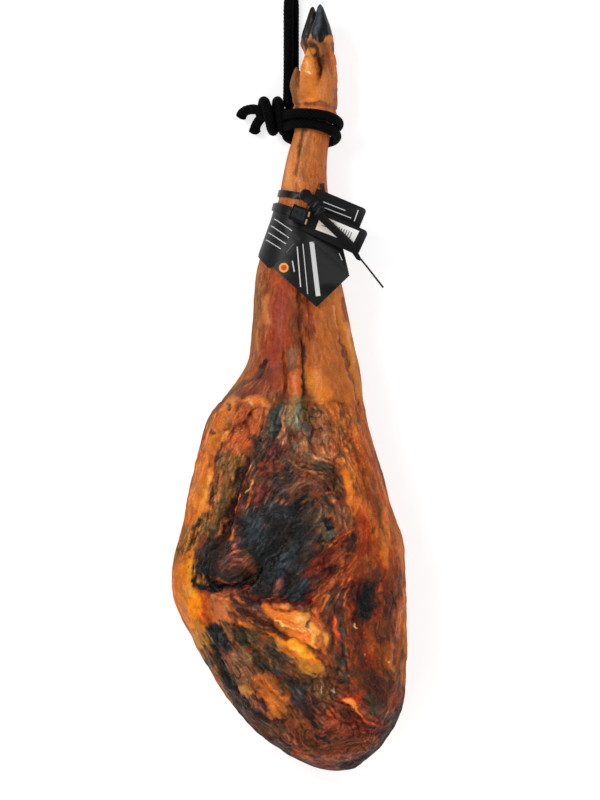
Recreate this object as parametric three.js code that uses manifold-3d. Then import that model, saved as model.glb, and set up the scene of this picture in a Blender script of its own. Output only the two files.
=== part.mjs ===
// A whole cured ham lying on its rind with the meat side up: the hind leg with its trotter,
// a rope tied round the shank with its hanging loop, a folded label, two tags and two plastic seals.
// Millimetres. X runs across the leg, Y along it from the butt to the hoof, Z up from the table.
import * as THREE from "three";
import { mergeVertices } from "three/addons/utils/BufferGeometryUtils.js";
import Module from "manifold-3d";

const wasm = await Module();
wasm.setup();

// Driving dimensions of the leg.
const HALF_LENGTH = 403.7; // the butt lies at -Y, the hoof's tip at +Y
const FRONT_COLUMNS = 30;
const BACK_COLUMNS = 14;
const STATIONS = [
  { from: -394, to: -2, step: 8 },
  { from: 6, to: 245, step: 10 },
  { from: 252, to: 346, step: 5.5 },
];
const BUTT_STATIONS = [-403, -401.2, -398.2];
const FOOT_STATIONS = [349, 353, 356];
const BUTT_TIP = new THREE.Vector3(50, -HALF_LENGTH, 44);
const FOOT_TIP = new THREE.Vector3(31, 358, 34);
const SEAM_SHARE = 0.44; // how high the widest line of a section lies, as a share of its height
const BODY_SQUARENESS = 2.35; // of the meat side, where 2 is an ellipse
const SHANK_SQUARENESS = 2.05;
const BACK_SQUARENESS = 2.1;

// Driving dimensions of what is tied to the leg.
const ROPE = 10.5; // diameter
const ROPE_SIDES = 8;
const WRAP_TOP = 282.2; // middle of the upper wrap
const WRAP_PITCH = 10.7;
const WRAP_RISE = 5.2; // how much higher the wraps lie on the meat side than at the sides
const SKIN_GAP = 0.9; // between the leg and what is wrapped round it
const SHEET = 1; // thickness of the label and the tags
const STRAP_THICK = 1.6;

// Edges of the leg seen from above, [y, x].
const LEFT_EDGE = [
  [-403.7, 50], [-402.7, 38], [-397.5, 21], [-392, 9.5], [-382, -8], [-371, -24], [-350, -46],
  [-329, -63], [-308, -78], [-277, -94.5], [-245, -112], [-224, -121], [-203, -124], [-182, -121],
  [-161, -115.5], [-119, -107], [-77, -98], [-45, -89.5], [-30, -84], [-14, -71.5], [-4, -62],
  [7, -53.5], [17, -47.5], [28, -42], [49, -40], [91, -37], [112, -35.5], [133, -31.5], [154, -24.5],
  [175, -17], [196, -11], [208, -8.2], [227, -5], [248, -1], [262, 4], [272, 5.5], [290, 3], [301, 5], [312, 8],
  [325, 11], [338, 14], [350, 17.5], [358, 31],
];
const RIGHT_EDGE = [
  [-403.7, 50], [-402.7, 62], [-397.5, 72.5], [-392, 81], [-382, 93.5], [-371, 102], [-350, 114.5],
  [-329, 121.5], [-308, 123], [-245, 124], [-203, 123], [-161, 120], [-140, 112.5], [-119, 106],
  [-98, 101], [-56, 88], [-35, 82], [-14, 78], [7, 76.5], [28, 72.5], [49, 67], [70, 64], [91, 59],
  [112, 54], [133, 48.5], [154, 45], [175, 43], [227, 40], [248, 41], [262, 43], [272, 44], [287, 50],
  [301, 51.5], [322, 51], [343, 50], [352, 47], [358, 31],
];
// Lowest line of the rind and crown of the meat side, [y, z].
const BACK_LINE = [
  [-403.7, 44], [-402.5, 40], [-397.5, 28], [-390, 18], [-375, 8], [-350, 1], [-310, -1.5],
  [-200, -1.8], [-100, -1.5], [-60, 0.5], [-15, 4], [30, 8], [90, 11], [175, 12], [227, 11.5],
  [271, 11.2], [290, 10], [322, 12], [343, 15], [354, 22], [358, 34],
];
const CROWN_LINE = [
  [-403.7, 44], [-402.5, 52], [-397.5, 62], [-390, 72], [-375, 84], [-350, 95], [-310, 104],
  [-250, 109], [-200, 111.5], [-150, 111], [-100, 107], [-60, 101], [-15, 92], [30, 84], [90, 76],
  [133, 71], [175, 65], [227, 58], [255, 55], [271, 54], [290, 59], [305, 58.5], [322, 57],
  [343, 52], [354, 45], [358, 34],
];

// Relief of the meat side. A ridge or furrow follows its line, and a swell is an oval.
const RIDGES = [
  { what: "furrow inside the fat rim", height: -5, half: 8,
    line: [[-28, -19], [-48, -40], [-64, -67], [-73.5, -93], [-79, -119], [-87, -145], [-95.5, -166]] },
  { what: "channel beside the thigh muscle", height: -7, half: 8,
    line: [[-39, -40], [-48, -61], [-55, -82], [-59, -103], [-63, -124], [-68, -145]] },
  { what: "crease round the hip knob", height: -8, half: 6.5,
    line: [[-98, -178], [-100, -191], [-90, -201], [-79, -208], [-66, -211], [-53, -208], [-43, -202],
      [-35, -190]] },
  { what: "valley past the knob", height: -4.5, half: 8,
    line: [[-39, -205], [-28, -190], [-15, -174], [1, -161]] },
  { what: "lower lip of the thigh muscle", height: -5, half: 8,
    line: [[-57, -224], [-28, -230], [1, -226], [24, -224], [41, -212], [59, -193], [74, -172]] },
  { what: "upper fat seam", height: 5, half: 9, line: [[-14, -236], [11, -250], [30, -271], [38, -287]] },
  { what: "gap between the fat seams", height: -3.5, half: 7, line: [[-22, -247], [11, -268], [34, -285]] },
  { what: "lower fat seam", height: 4.5, half: 9, line: [[-10, -272], [20, -291], [38, -308]] },
  { what: "long dark valley", height: -5.5, half: 10,
    line: [[-60, -247], [-39, -279], [-18, -310], [3, -338], [20, -366]] },
  { what: "lower left roll", height: 4, half: 14, line: [[-75, -262], [-54, -306], [-28, -345], [-1, -376]] },
  { what: "skin fold on the right", height: 3, half: 7,
    line: [[30, 96], [41, 59], [53, 17], [66, -25], [79, -67], [89, -103], [104, -151]] },
  { what: "fat strip on the right", height: 4, half: 8,
    line: [[36, -16], [44, -38], [49, -68], [60, -90], [65, -111], [72, -132], [76, -161]] },
  { what: "main furrow of the shank", height: -7, half: 6, line: [[22, 118], [24, 59], [25, 17], [26, -19]] },
  { what: "small furrow of the shank", height: -3.5, half: 5, line: [[2, 44], [2, 12], [2, -21]] },
  { what: "hollow above the stifle", height: -3.5, half: 8, line: [[-20, 42], [-28, 19], [-45, 0]] },
  { what: "edge of the trimmed skin", height: 3.5, half: 7, line: [[-78, -28], [-51, -19], [-4, -15], [43, -16]] },
  { what: "tendon into the meat", height: 4, half: 5, line: [[6, -20], [3, -34], [-7, -58]] },
  { what: "valley right of the fat seams", height: -4.5, half: 9,
    line: [[51, -224], [45, -266], [49, -308], [59, -334]] },
  { what: "cleft of the trotter", height: -6, half: 3.5, line: [[18, 362], [27, 349], [31, 331], [30, 322]] },
];
const SWELLS = [
  { what: "hip knob", x: -66, y: -185, alongX: 29, alongY: 19, turn: -0.15, height: 10 },
  { what: "thigh muscle", x: 1, y: -112, alongX: 50, alongY: 72, turn: 0, height: 6 },
  { what: "lobe above the lip", x: 12, y: -196, alongX: 40, alongY: 20, turn: 0.5, height: 5 },
  { what: "hollow under the trimmed skin", x: -8, y: -42, alongX: 18, alongY: 18, turn: 0, height: -5.5 },
  { what: "calf", x: -9, y: 66, alongX: 14, alongY: 38, turn: 0, height: 4 },
  { what: "right haunch", x: 92, y: -262, alongX: 26, alongY: 62, turn: 0, height: 4 },
  { what: "butt", x: 52, y: -365, alongX: 36, alongY: 22, turn: 0.3, height: 4 },
];

const smooth = (t) => {
  const c = Math.min(1, Math.max(0, t));
  return c * c * (3 - 2 * c);
};

// A smooth curve through [at, value] rows that doesn't overshoot them.
function through(rows) {
  const slopes = rows.map((row, i) => {
    if (i === 0 || i === rows.length - 1) return 0;
    const before = (row[1] - rows[i - 1][1]) / (row[0] - rows[i - 1][0]);
    const after = (rows[i + 1][1] - row[1]) / (rows[i + 1][0] - row[0]);
    return before * after <= 0 ? 0 : (2 * before * after) / (before + after);
  });
  return (at) => {
    const last = rows.length - 2;
    const found = rows.findIndex((row) => row[0] > at);
    const i = Math.min(last, Math.max(0, (found < 0 ? rows.length : found) - 1));
    const [a, b] = [rows[i], rows[i + 1]];
    const wide = b[0] - a[0];
    const t = Math.min(1, Math.max(0, (at - a[0]) / wide));
    const rise = t * t * (3 - 2 * t);
    const [leave, arrive] = [t * (1 - t) * (1 - t), t * t * (1 - t)];
    return a[1] + (b[1] - a[1]) * rise + wide * (slopes[i] * leave - slopes[i + 1] * arrive);
  };
}

const leftAt = through(LEFT_EDGE);
const rightAt = through(RIGHT_EDGE);
const backAt = through(BACK_LINE);
const crownAt = through(CROWN_LINE);

function distanceToLine(x, y, line) {
  let best = Infinity;
  for (let i = 0; i + 1 < line.length; i++) {
    const [[ax, ay], [bx, by]] = [line[i], line[i + 1]];
    const [dx, dy] = [bx - ax, by - ay];
    const t = Math.min(1, Math.max(0, ((x - ax) * dx + (y - ay) * dy) / (dx * dx + dy * dy)));
    best = Math.min(best, Math.hypot(x - ax - t * dx, y - ay - t * dy));
  }
  return best;
}

// How far the meat side stands above or below its smooth dome.
function relief(x, y) {
  let sum = 0;
  for (const { line, half, height } of RIDGES) {
    sum += height * Math.exp(-((distanceToLine(x, y, line) / half) ** 2));
  }
  for (const swell of SWELLS) {
    const [dx, dy] = [x - swell.x, y - swell.y];
    const [c, s] = [Math.cos(swell.turn), Math.sin(swell.turn)];
    const along = (dx * c + dy * s) / swell.alongX;
    const across = (dy * c - dx * s) / swell.alongY;
    sum += swell.height * Math.exp(-(along * along + across * across));
  }
  return sum;
}

// The slow unevenness of the rind, in millimetres.
const unevenness = (x, y) => 0.9 * Math.sin(x / 19 + 1.3) * Math.sin(y / 31) + 0.6 * Math.sin(x / 11 - y / 17);

function sectionAt(y) {
  const [left, right, back, crown] = [leftAt(y), rightAt(y), backAt(y), crownAt(y)];
  const body = smooth((60 - y) / 120);
  return {
    centre: (left + right) / 2,
    half: Math.max(0.5, (right - left) / 2),
    back,
    crown,
    seam: back + SEAM_SHARE * (crown - back),
    frontPower: SHANK_SQUARENESS + (BODY_SQUARENESS - SHANK_SQUARENESS) * body,
  };
}

// Height of the meat side at a place, with its relief.
function frontHeight(x, y) {
  const cut = sectionAt(y);
  const across = Math.min(1, Math.abs((x - cut.centre) / cut.half));
  const dome = (1 - across ** cut.frontPower) ** (1 / cut.frontPower);
  return cut.seam + (cut.crown - cut.seam) * dome + relief(x, y) * smooth(dome * 1.6);
}

function backHeight(x, y) {
  const cut = sectionAt(y);
  const across = Math.min(1, Math.abs((x - cut.centre) / cut.half));
  const bowl = (1 - across ** BACK_SQUARENESS) ** (1 / BACK_SQUARENESS);
  const uneven = unevenness(x, y) * bowl * smooth((90 - y) / 60);
  return Math.max(0, cut.seam - (cut.seam - cut.back) * bowl + uneven);
}

// Equal steps along a polyline, without its last point.
function evenly(points, count) {
  const along = [0];
  for (let i = 1; i < points.length; i++) along.push(along[i - 1] + points[i].distanceTo(points[i - 1]));
  const total = along[along.length - 1];
  const placed = [];
  let i = 0;
  for (let k = 0; k < count; k++) {
    const at = (total * k) / count;
    while (along[i + 1] < at) i++;
    placed.push(points[i].clone().lerp(points[i + 1], (at - along[i]) / (along[i + 1] - along[i])));
  }
  return placed;
}

// One ring of the leg at y: over the meat side from left to right, and back along the rind.
function legRing(y) {
  const cut = sectionAt(y);
  const fine = 160;
  const side = (height, direction) =>
    Array.from({ length: fine + 1 }, (_, i) => {
      const x = cut.centre - direction * cut.half * Math.cos((Math.PI * i) / fine);
      return new THREE.Vector3(x, y, height(x, y));
    });
  return [
    ...evenly(side(frontHeight, 1), FRONT_COLUMNS),
    ...evenly(side(backHeight, -1), BACK_COLUMNS),
  ];
}

// A closed solid over rings of equal length between two end points.
function loft(start, rings, end) {
  const count = rings[0].length;
  const points = [start, ...rings.flat(), end];
  const faces = [];
  const at = (ring, i) => 1 + ring * count + (((i % count) + count) % count);
  for (let i = 0; i < count; i++) {
    faces.push(0, at(0, i + 1), at(0, i));
    for (let ring = 0; ring + 1 < rings.length; ring++) {
      const [a, b, c, d] = [at(ring, i), at(ring, i + 1), at(ring + 1, i), at(ring + 1, i + 1)];
      faces.push(a, b, d, a, d, c);
    }
    faces.push(points.length - 1, at(rings.length - 1, i), at(rings.length - 1, i + 1));
  }
  const geometry = new THREE.BufferGeometry();
  geometry.setAttribute("position", new THREE.Float32BufferAttribute(points.flatMap((p) => [p.x, p.y, p.z]), 3));
  geometry.setIndex(faces);
  return solid(geometry);
}

// A three.js geometry as a solid with its faces outwards.
function solid(geometry) {
  const bare = geometry.clone();
  bare.deleteAttribute("normal");
  bare.deleteAttribute("uv");
  const merged = mergeVertices(bare, 1e-3);
  const triVerts = new Uint32Array(merged.index.array);
  const made = () =>
    new wasm.Manifold(
      new wasm.Mesh({ numProp: 3, vertProperties: new Float32Array(merged.attributes.position.array), triVerts }),
    );
  const first = made();
  if (first.volume() > 0) return first;
  for (let i = 0; i < triVerts.length; i += 3) {
    [triVerts[i + 1], triVerts[i + 2]] = [triVerts[i + 2], triVerts[i + 1]];
  }
  return made();
}

const fuse = (solids) => solids.reduce((whole, next) => whole.add(next));

function named(name, made, material) {
  const mesh = made.getMesh();
  const geometry = new THREE.BufferGeometry();
  geometry.setAttribute("position", new THREE.Float32BufferAttribute(mesh.vertProperties, 3));
  geometry.setIndex(new THREE.BufferAttribute(mesh.triVerts, 1));
  const shown = new THREE.Mesh(geometry.toNonIndexed(), material);
  shown.geometry.computeVertexNormals();
  shown.name = name;
  return shown;
}

// A tapering round form that runs along Y: rows of [x, y, z, half width, half height].
function taperedForm(rows, sides, start, end) {
  const rings = rows.map(([x, y, z, wide, high]) =>
    Array.from({ length: sides }, (_, i) => {
      const angle = (2 * Math.PI * i) / sides;
      return new THREE.Vector3(x - wide * Math.cos(angle), y, z + high * Math.sin(angle));
    }),
  );
  return loft(new THREE.Vector3(...start), rings, new THREE.Vector3(...end));
}

function tube(points, radius, sides, steps) {
  const section = new THREE.Shape(
    Array.from({ length: sides }, (_, i) => {
      const angle = (2 * Math.PI * i) / sides;
      return new THREE.Vector2(radius * Math.cos(angle), radius * Math.sin(angle));
    }),
  );
  const path = new THREE.CatmullRomCurve3(points.map((p) => new THREE.Vector3(...p)), false, "centripetal");
  return solid(new THREE.ExtrudeGeometry(section, { steps, extrudePath: path, bevelEnabled: false }));
}

// The leg, its two claws and its two dewclaws.
function leg() {
  const spans = STATIONS.flatMap(({ from, to, step }) => {
    const count = Math.round((to - from) / step);
    return Array.from({ length: count + 1 }, (_, i) => from + ((to - from) * i) / count);
  });
  const rings = [...BUTT_STATIONS, ...spans, ...FOOT_STATIONS].map(legRing);
  const frontClaw = [
    [35, 344, 40, 11.5, 13], [34.8, 352, 41, 13, 15], [33.6, 361, 41.5, 14, 15.2], [32.6, 367, 41.3, 14.2, 14.8],
    [32.3, 373, 41, 12.9, 13.8], [32.4, 380, 40.3, 11, 12], [33, 388, 39.4, 7.4, 8.6], [33, 394.5, 38.6, 5, 6],
    [32.8, 399.5, 38.1, 3.2, 4],
  ];
  const rearClaw = [
    [26, 344, 27, 8, 10], [24, 352, 26.6, 8.4, 11.2], [21.1, 361, 26.4, 9, 11.4], [21.4, 367, 26.4, 9.2, 11.2],
    [22.3, 373.7, 26.8, 8.4, 10], [24.2, 385.8, 27.8, 6.4, 7.8], [24.9, 394, 28.8, 4.6, 5.6],
    [25, 399, 29.3, 2.8, 3.6],
  ];
  const frontDewclaw = [
    [19, 298, 45, 8.5, 8], [20, 308, 51, 9, 10], [20.2, 317.4, 54.5, 9.4, 10.5], [20.3, 325.5, 57, 9.2, 10.5],
    [20.3, 333.5, 59, 8.6, 9.5], [20.9, 341.6, 60.5, 6.2, 7.2], [21.2, 349.5, 61.6, 3.7, 4.4],
  ];
  const rearDewclaw = [
    [11, 292, 36, 6.5, 7], [9.6, 300, 37, 6.2, 8], [8.2, 309.4, 38, 6.4, 8.6], [7.4, 317.4, 38.5, 6.8, 8.6],
    [7.2, 324, 39, 5.8, 7.6], [7.8, 331.5, 39.5, 3.6, 5],
  ];
  return fuse([
    loft(BUTT_TIP, rings, FOOT_TIP),
    taperedForm(frontClaw, 14, [35, 340, 40], [32.6, HALF_LENGTH, 37.8]),
    taperedForm(rearClaw, 12, [26, 340, 27], [24.9, 401.8, 29.5]),
    taperedForm(frontDewclaw, 12, [18.5, 293, 44], [21, 356, 62.2]),
    taperedForm(rearDewclaw, 10, [12, 288, 36], [8, 337, 40]),
  ]);
}

// The rope's two wraps, its knot on the left of the shank and the two short ends.
function ropeTie() {
  const radius = ROPE / 2;
  const turns = 2;
  const wraps = Array.from({ length: 20 * turns + 1 }, (_, i) => {
    const angle = (2 * Math.PI * i) / 20;
    const slant = 1.5 + 0.1 * Math.max(0, i - 15);
    const y = WRAP_TOP + slant * Math.cos(angle) + WRAP_RISE * Math.sin(angle) - (WRAP_PITCH * i) / 20;
    const cut = sectionAt(y);
    const clear = SKIN_GAP + radius + 0.7;
    const high = (cut.crown - cut.back) / 2 + clear;
    const z = (cut.crown + cut.back) / 2 + high * Math.sin(angle);
    return [cut.centre - (cut.half + clear) * Math.cos(angle), y, Math.max(radius + 0.2, z)];
  });
  const coilRadius = 15;
  const coilAcross = through([
    [8, -4.4], [12.75, -5.7], [17, -9], [21.25, -12.4], [25.5, -14.6], [29.75, -16.9], [34, -21.5], [38.25, -27],
    [42, -29],
  ]);
  const coil = Array.from({ length: 35 }, (_, k) => {
    const i = k + 8;
    const angle = (2 * Math.PI * i) / 17;
    return [coilAcross(i), 286 + 15.7 * Math.sin(angle), coilRadius + radius + coilRadius * Math.cos(angle)];
  });
  const core = [[-1, 286, 20.5], [-14, 286, 20.5], [-27, 288, 20.5], [-33, 291, 19]];
  const longEnd = [[-25, 290, 21], [-37, 293.4, 18], [-47, 291.8, 12.5], [-51.5, 286, 6.5]];
  const shortEnd = [[-24, 288, 17], [-31, 283, 12.5], [-35.5, 276, 8], [-37, 268.3, 5.7]];
  return fuse([
    tube(wraps, radius, ROPE_SIDES, 40),
    tube(coil, radius, ROPE_SIDES, 32),
    tube(core, radius * 1.3, ROPE_SIDES, 8),
    tube(longEnd, radius, ROPE_SIDES, 7),
    tube(shortEnd, radius, ROPE_SIDES, 7),
  ]);
}

// The hanging loop: one strand lies on the other past the hoof, crosses it, and both open into an eye.
const LOOP_ROUTE = [
  [-1.2, 295, 19.5], [-1.2, 305.6, 18.2], [-1, 317, 15.8], [-0.7, 335, 14.9], [-0.65, 360, 14.9], [-0.65, 385, 14.9], [-0.5, 405, 15],
  [1.6, 418, 16.8], [7.5, 431, 14.2], [15, 441, 9.4], [22.4, 450, 6.3], [26.5, 461, 5.6], [24.4, 471, 5.6],
  [15.4, 479.5, 5.6], [4.2, 482.5, 5.6], [-7, 479.5, 5.6], [-16, 471, 5.6], [-18.5, 461, 5.6], [-15, 450, 5.6],
  [-8, 441, 5.6], [-1, 431, 5.6], [3.5, 418, 5.6], [5.25, 405, 5.6], [5.25, 385, 5.6], [5.25, 360, 5.6],
  [5.25, 335, 5.6], [5.4, 313, 5.6], [5.8, 291.4, 5.6],
];
const LOOP_STEPS = 33;

// A band round the shank between two offsets from its skin. middle(x) is its height along Y at x, and
// dip(x) is how far its lower edge hangs below the straight on the meat side.
function band(middle, halfWide, inner, thick, columns, dip = () => 0) {
  const ringAt = (sideways, offset) =>
    Array.from({ length: columns }, (_, i) => {
      const angle = (2 * Math.PI * i) / columns;
      const first = sectionAt(middle(0));
      const x = first.centre - first.half * Math.cos(angle);
      const hang = Math.sin(angle) > 0 && sideways < 0 ? (dip(x) * -sideways) / halfWide : 0;
      const y = middle(x) + sideways - hang;
      const cut = sectionAt(y);
      const power = Math.sin(angle) > 0 ? cut.frontPower : BACK_SQUARENESS;
      const reach = Math.abs(Math.cos(angle)) ** power + Math.abs(Math.sin(angle)) ** power;
      const out = reach ** (-1 / power);
      const high = Math.sin(angle) > 0 ? cut.crown - cut.seam : cut.seam - cut.back;
      return new THREE.Vector3(
        cut.centre - (cut.half + offset) * Math.cos(angle) * out,
        y,
        cut.seam + (high + offset) * Math.sin(angle) * out,
      );
    });
  const rows = Math.max(1, Math.round(halfWide / 8));
  const shares = Array.from({ length: rows + 1 }, (_, i) => halfWide * ((2 * i) / rows - 1));
  const outside = shares.map((s) => ringAt(s, inner + thick));
  const inside = shares.map((s) => ringAt(s, inner)).reverse();
  return closedBelt([...outside, ...inside]);
}

// Rings joined one after another and the last to the first, as a hoop's section is.
function closedBelt(rings) {
  const count = rings[0].length;
  const points = rings.flat();
  const faces = [];
  rings.forEach((_, r) => {
    const next = (r + 1) % rings.length;
    for (let i = 0; i < count; i++) {
      const j = (i + 1) % count;
      const [a, b, c, d] = [r * count + i, r * count + j, next * count + i, next * count + j];
      faces.push(a, b, d, a, d, c);
    }
  });
  const geometry = new THREE.BufferGeometry();
  geometry.setAttribute("position", new THREE.Float32BufferAttribute(points.flatMap((p) => [p.x, p.y, p.z]), 3));
  geometry.setIndex(faces);
  return solid(geometry);
}

// A thin plate over a four-cornered patch, with height(x, y) as its underside.
function plate(corner, alongEdge, acrossEdge, columns, rows, height, thick) {
  const points = [];
  const grid = (lift) => {
    for (let r = 0; r <= rows; r++) {
      for (let c = 0; c <= columns; c++) {
        const x = corner[0] + (alongEdge[0] * c) / columns + (acrossEdge[0] * r) / rows;
        const y = corner[1] + (alongEdge[1] * c) / columns + (acrossEdge[1] * r) / rows;
        points.push(x, y, height(x, y) + lift);
      }
    }
  };
  grid(0);
  grid(thick);
  const wide = columns + 1;
  const layer = wide * (rows + 1);
  const faces = [];
  for (let r = 0; r < rows; r++) {
    for (let c = 0; c < columns; c++) {
      const a = r * wide + c;
      faces.push(a, a + wide, a + wide + 1, a, a + wide + 1, a + 1);
      faces.push(layer + a, layer + a + wide + 1, layer + a + wide, layer + a, layer + a + 1, layer + a + wide + 1);
    }
  }
  const rim = [
    ...Array.from({ length: columns }, (_, c) => c),
    ...Array.from({ length: rows }, (_, r) => r * wide + columns),
    ...Array.from({ length: columns }, (_, c) => rows * wide + columns - c),
    ...Array.from({ length: rows }, (_, r) => (rows - r) * wide),
  ];
  rim.forEach((a, i) => {
    const b = rim[(i + 1) % rim.length];
    faces.push(a, b, layer + b, a, layer + b, layer + a);
  });
  const geometry = new THREE.BufferGeometry();
  geometry.setAttribute("position", new THREE.Float32BufferAttribute(points, 3));
  geometry.setIndex(faces);
  return solid(geometry);
}

// Where a stiff sheet lies: it bears on the leg as far as BEND of the way out, and runs on straight from there.
const BEND = 0.45;
function sheetHeight(lift) {
  const skin = (x, y) => {
    const cut = sectionAt(y);
    const across = Math.min(1, Math.abs((x - cut.centre) / cut.half));
    const dome = (1 - across ** cut.frontPower) ** (1 / cut.frontPower);
    return cut.seam + (cut.crown - cut.seam) * dome + Math.max(0, relief(x, y));
  };
  return (x, y) => {
    const cut = sectionAt(y);
    const leaves = cut.centre + BEND * cut.half;
    if (x <= leaves) return skin(Math.max(x, cut.centre - 0.9 * cut.half), y) + lift;
    const slope = (skin(leaves, y) - skin(leaves - 4, y)) / 4;
    return skin(leaves, y) + slope * (x - leaves) + lift;
  };
}

// The folded label: a collar round the shank with its lower corner, an under flap and the front panel.
function label() {
  const cornerX = -11;
  const corner = (x) => Math.max(0, 13 - (x < cornerX ? 0.9 : 1.1) * Math.abs(x - cornerX));
  const collar = band((x) => 160 - 0.3 * x, 27, SKIN_GAP + 0.6, SHEET, 30, corner);
  const underFlap = plate([-6, 171], [62, -24], [7, -30], 8, 4, sheetHeight(2.1), SHEET * 1.6);
  const panel = plate([-17.3, 124.4], [46.2, -42], [34.6, 33.6], 8, 6, sheetHeight(3.3), SHEET);
  return fuse([collar, underFlap, panel]);
}

// A flat outline of one thickness, laid at a place and turned, sloping down towards +X of its own frame.
function flatPiece(outline, thick, centre, turn, droop) {
  const geometry = new THREE.ExtrudeGeometry(outline, { depth: thick, bevelEnabled: false, curveSegments: 4 });
  return solid(geometry.applyMatrix4(placed(centre, turn, droop)));
}

function placed(centre, turn, droop) {
  return new THREE.Matrix4()
    .makeTranslation(...centre)
    .multiply(new THREE.Matrix4().makeRotationZ(turn))
    .multiply(new THREE.Matrix4().makeRotationY(droop));
}

// A card with two round corners at its far end.
function card(long, wide, corner, centre, turn, droop) {
  const outline = new THREE.Shape();
  const [a, b] = [long / 2, wide / 2];
  outline.moveTo(-a, -b);
  outline.lineTo(a - corner, -b);
  outline.absarc(a - corner, -b + corner, corner, -Math.PI / 2, 0, false);
  outline.lineTo(a, b - corner);
  outline.absarc(a - corner, b - corner, corner, 0, Math.PI / 2, false);
  outline.lineTo(-a, b);
  outline.closePath();
  return flatPiece(outline, SHEET, centre, turn, droop);
}

function block(size, centre, turn, droop = 0) {
  return solid(new THREE.BoxGeometry(...size).applyMatrix4(placed(centre, turn, droop)));
}

// The pull-tight seal: a strap round the shank, a round head, a ribbed neck, a flat tongue and a thin tail.
const TONGUE = [[-9, -4], [44, -4.2], [56, -6.6], [59.4, -5.4], [58.6, -2.6], [52, -0.2], [42.3, 4.2], [-9, 4]];
const NECK_RIBS = 3;
function pullSeal() {
  const strap = band((x) => 201.5 - 0.2 * x, 3.5, SKIN_GAP, STRAP_THICK, 28);
  const head = solid(
    new THREE.CylinderGeometry(5.9, 6.4, 15, 12).rotateX(Math.PI / 2).translate(17.6, 199.4, 70.4),
  );
  const neck = block([24, 9.6, 5], [27.2, 188.6, 76.2], -0.86);
  const ribs = Array.from({ length: NECK_RIBS }, (_, i) =>
    block([2.2, 11.4, 6.6], [24.4 + 4 * i, 191.8 - 4.6 * i, 76.4], -0.86),
  );
  const tongue = flatPiece(new THREE.Shape(TONGUE.map((p) => new THREE.Vector2(...p))), 2.2,
    [34.6, 175.4, 75.4], -0.76, 0.07);
  const tail = tube([[71.5, 136.5, 72.1], [80, 126.5, 69.4], [90, 114, 65], [98.5, 103.5, 60]], 1.1, 6, 6);
  const stub = block([4, 18, 1.6], [35.6, 203.6, 54.4], 0.1, 0.55);
  return fuse([strap, head, neck, ...ribs, tongue, tail, stub]);
}

// The ratchet seal: a strap round the shank over the label, and the square housing on the tag.
function clipSeal() {
  const strap = band((x) => 183.5 - 0.42 * x, 3.6, SKIN_GAP + 2.4, STRAP_THICK, 28);
  const housing = block([20, 16.5, 7], [11.3, 178.4, 76.3], -0.4, 0.05);
  const post = block([6, 6, 8], [5.5, 181.5, 71.2], -0.42);
  return fuse([strap, housing, post]);
}

function material(name, colour, roughness) {
  const made = new THREE.MeshStandardMaterial({ color: colour, roughness, metalness: 0 });
  made.name = name;
  return made;
}

const curedMeat = material("cured_meat", 0x9a4f1e, 0.45);
const cordage = material("rope", 0x111113, 0.9);
const board = material("label", 0x1c1f20, 0.5);
const plastic = material("plastic", 0x0c0e0f, 0.35);

const ham = new THREE.Group();
ham.add(named("ham", leg(), curedMeat));
ham.add(named("rope_tie", ropeTie(), cordage));
ham.add(named("rope_loop", tube(LOOP_ROUTE, ROPE / 2, ROPE_SIDES, LOOP_STEPS), cordage));
ham.add(named("label", label(), board));
ham.add(named("tag_upper", card(57, 24, 4, [50.8, 184.8, 63], -0.39, 0.12), plastic));
ham.add(named("tag_lower", card(66, 27.5, 4.5, [47.4, 162.7, 68.75], -0.43, 0.07), plastic));
ham.add(named("pull_seal", pullSeal(), plastic));
ham.add(named("clip_seal", clipSeal(), plastic));

export default ham;
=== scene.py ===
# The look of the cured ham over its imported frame, in metres.
# Places on the leg are written as the view from above has them: across and down in units of 1.05 mm.
import math

import bmesh
import bpy
import numpy as np
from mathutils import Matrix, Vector
from mathutils.bvhtree import BVHTree


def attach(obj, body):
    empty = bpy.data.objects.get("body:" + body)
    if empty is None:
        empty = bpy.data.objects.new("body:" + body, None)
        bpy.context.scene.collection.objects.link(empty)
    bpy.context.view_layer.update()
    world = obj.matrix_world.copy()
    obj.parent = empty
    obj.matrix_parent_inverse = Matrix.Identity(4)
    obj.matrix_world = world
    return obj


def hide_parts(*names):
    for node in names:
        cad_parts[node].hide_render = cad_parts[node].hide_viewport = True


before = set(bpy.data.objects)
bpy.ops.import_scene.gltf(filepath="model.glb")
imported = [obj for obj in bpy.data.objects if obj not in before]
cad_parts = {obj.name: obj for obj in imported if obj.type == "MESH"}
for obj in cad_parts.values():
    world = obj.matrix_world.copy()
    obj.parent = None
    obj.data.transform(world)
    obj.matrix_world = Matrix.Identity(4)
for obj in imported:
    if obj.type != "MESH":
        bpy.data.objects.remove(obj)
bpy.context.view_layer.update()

UNIT = 0.00105
MID_ACROSS = 289.0
MID_DOWN = 386.5
MM = 0.001


def place(across, down):
    """The x and y of a spot given as the view from above has it."""
    return (across - MID_ACROSS) * UNIT, (MID_DOWN - down) * UNIT


def seen(points):
    """The across and down of each point, as the view from above has them."""
    return points[:, 0] / UNIT + MID_ACROSS, MID_DOWN - points[:, 1] / UNIT


def linear(colour):
    """A 0 to 255 display colour as linear light."""
    c = np.asarray(colour, float) / 255.0
    return np.where(c <= 0.04045, c / 12.92, ((c + 0.055) / 1.055) ** 2.4)


def smooth(t):
    t = np.clip(t, 0.0, 1.0)
    return t * t * (3.0 - 2.0 * t)


def new_object(name, data):
    made = bpy.data.objects.new(name, data)
    bpy.context.scene.collection.objects.link(made)
    return made


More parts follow.
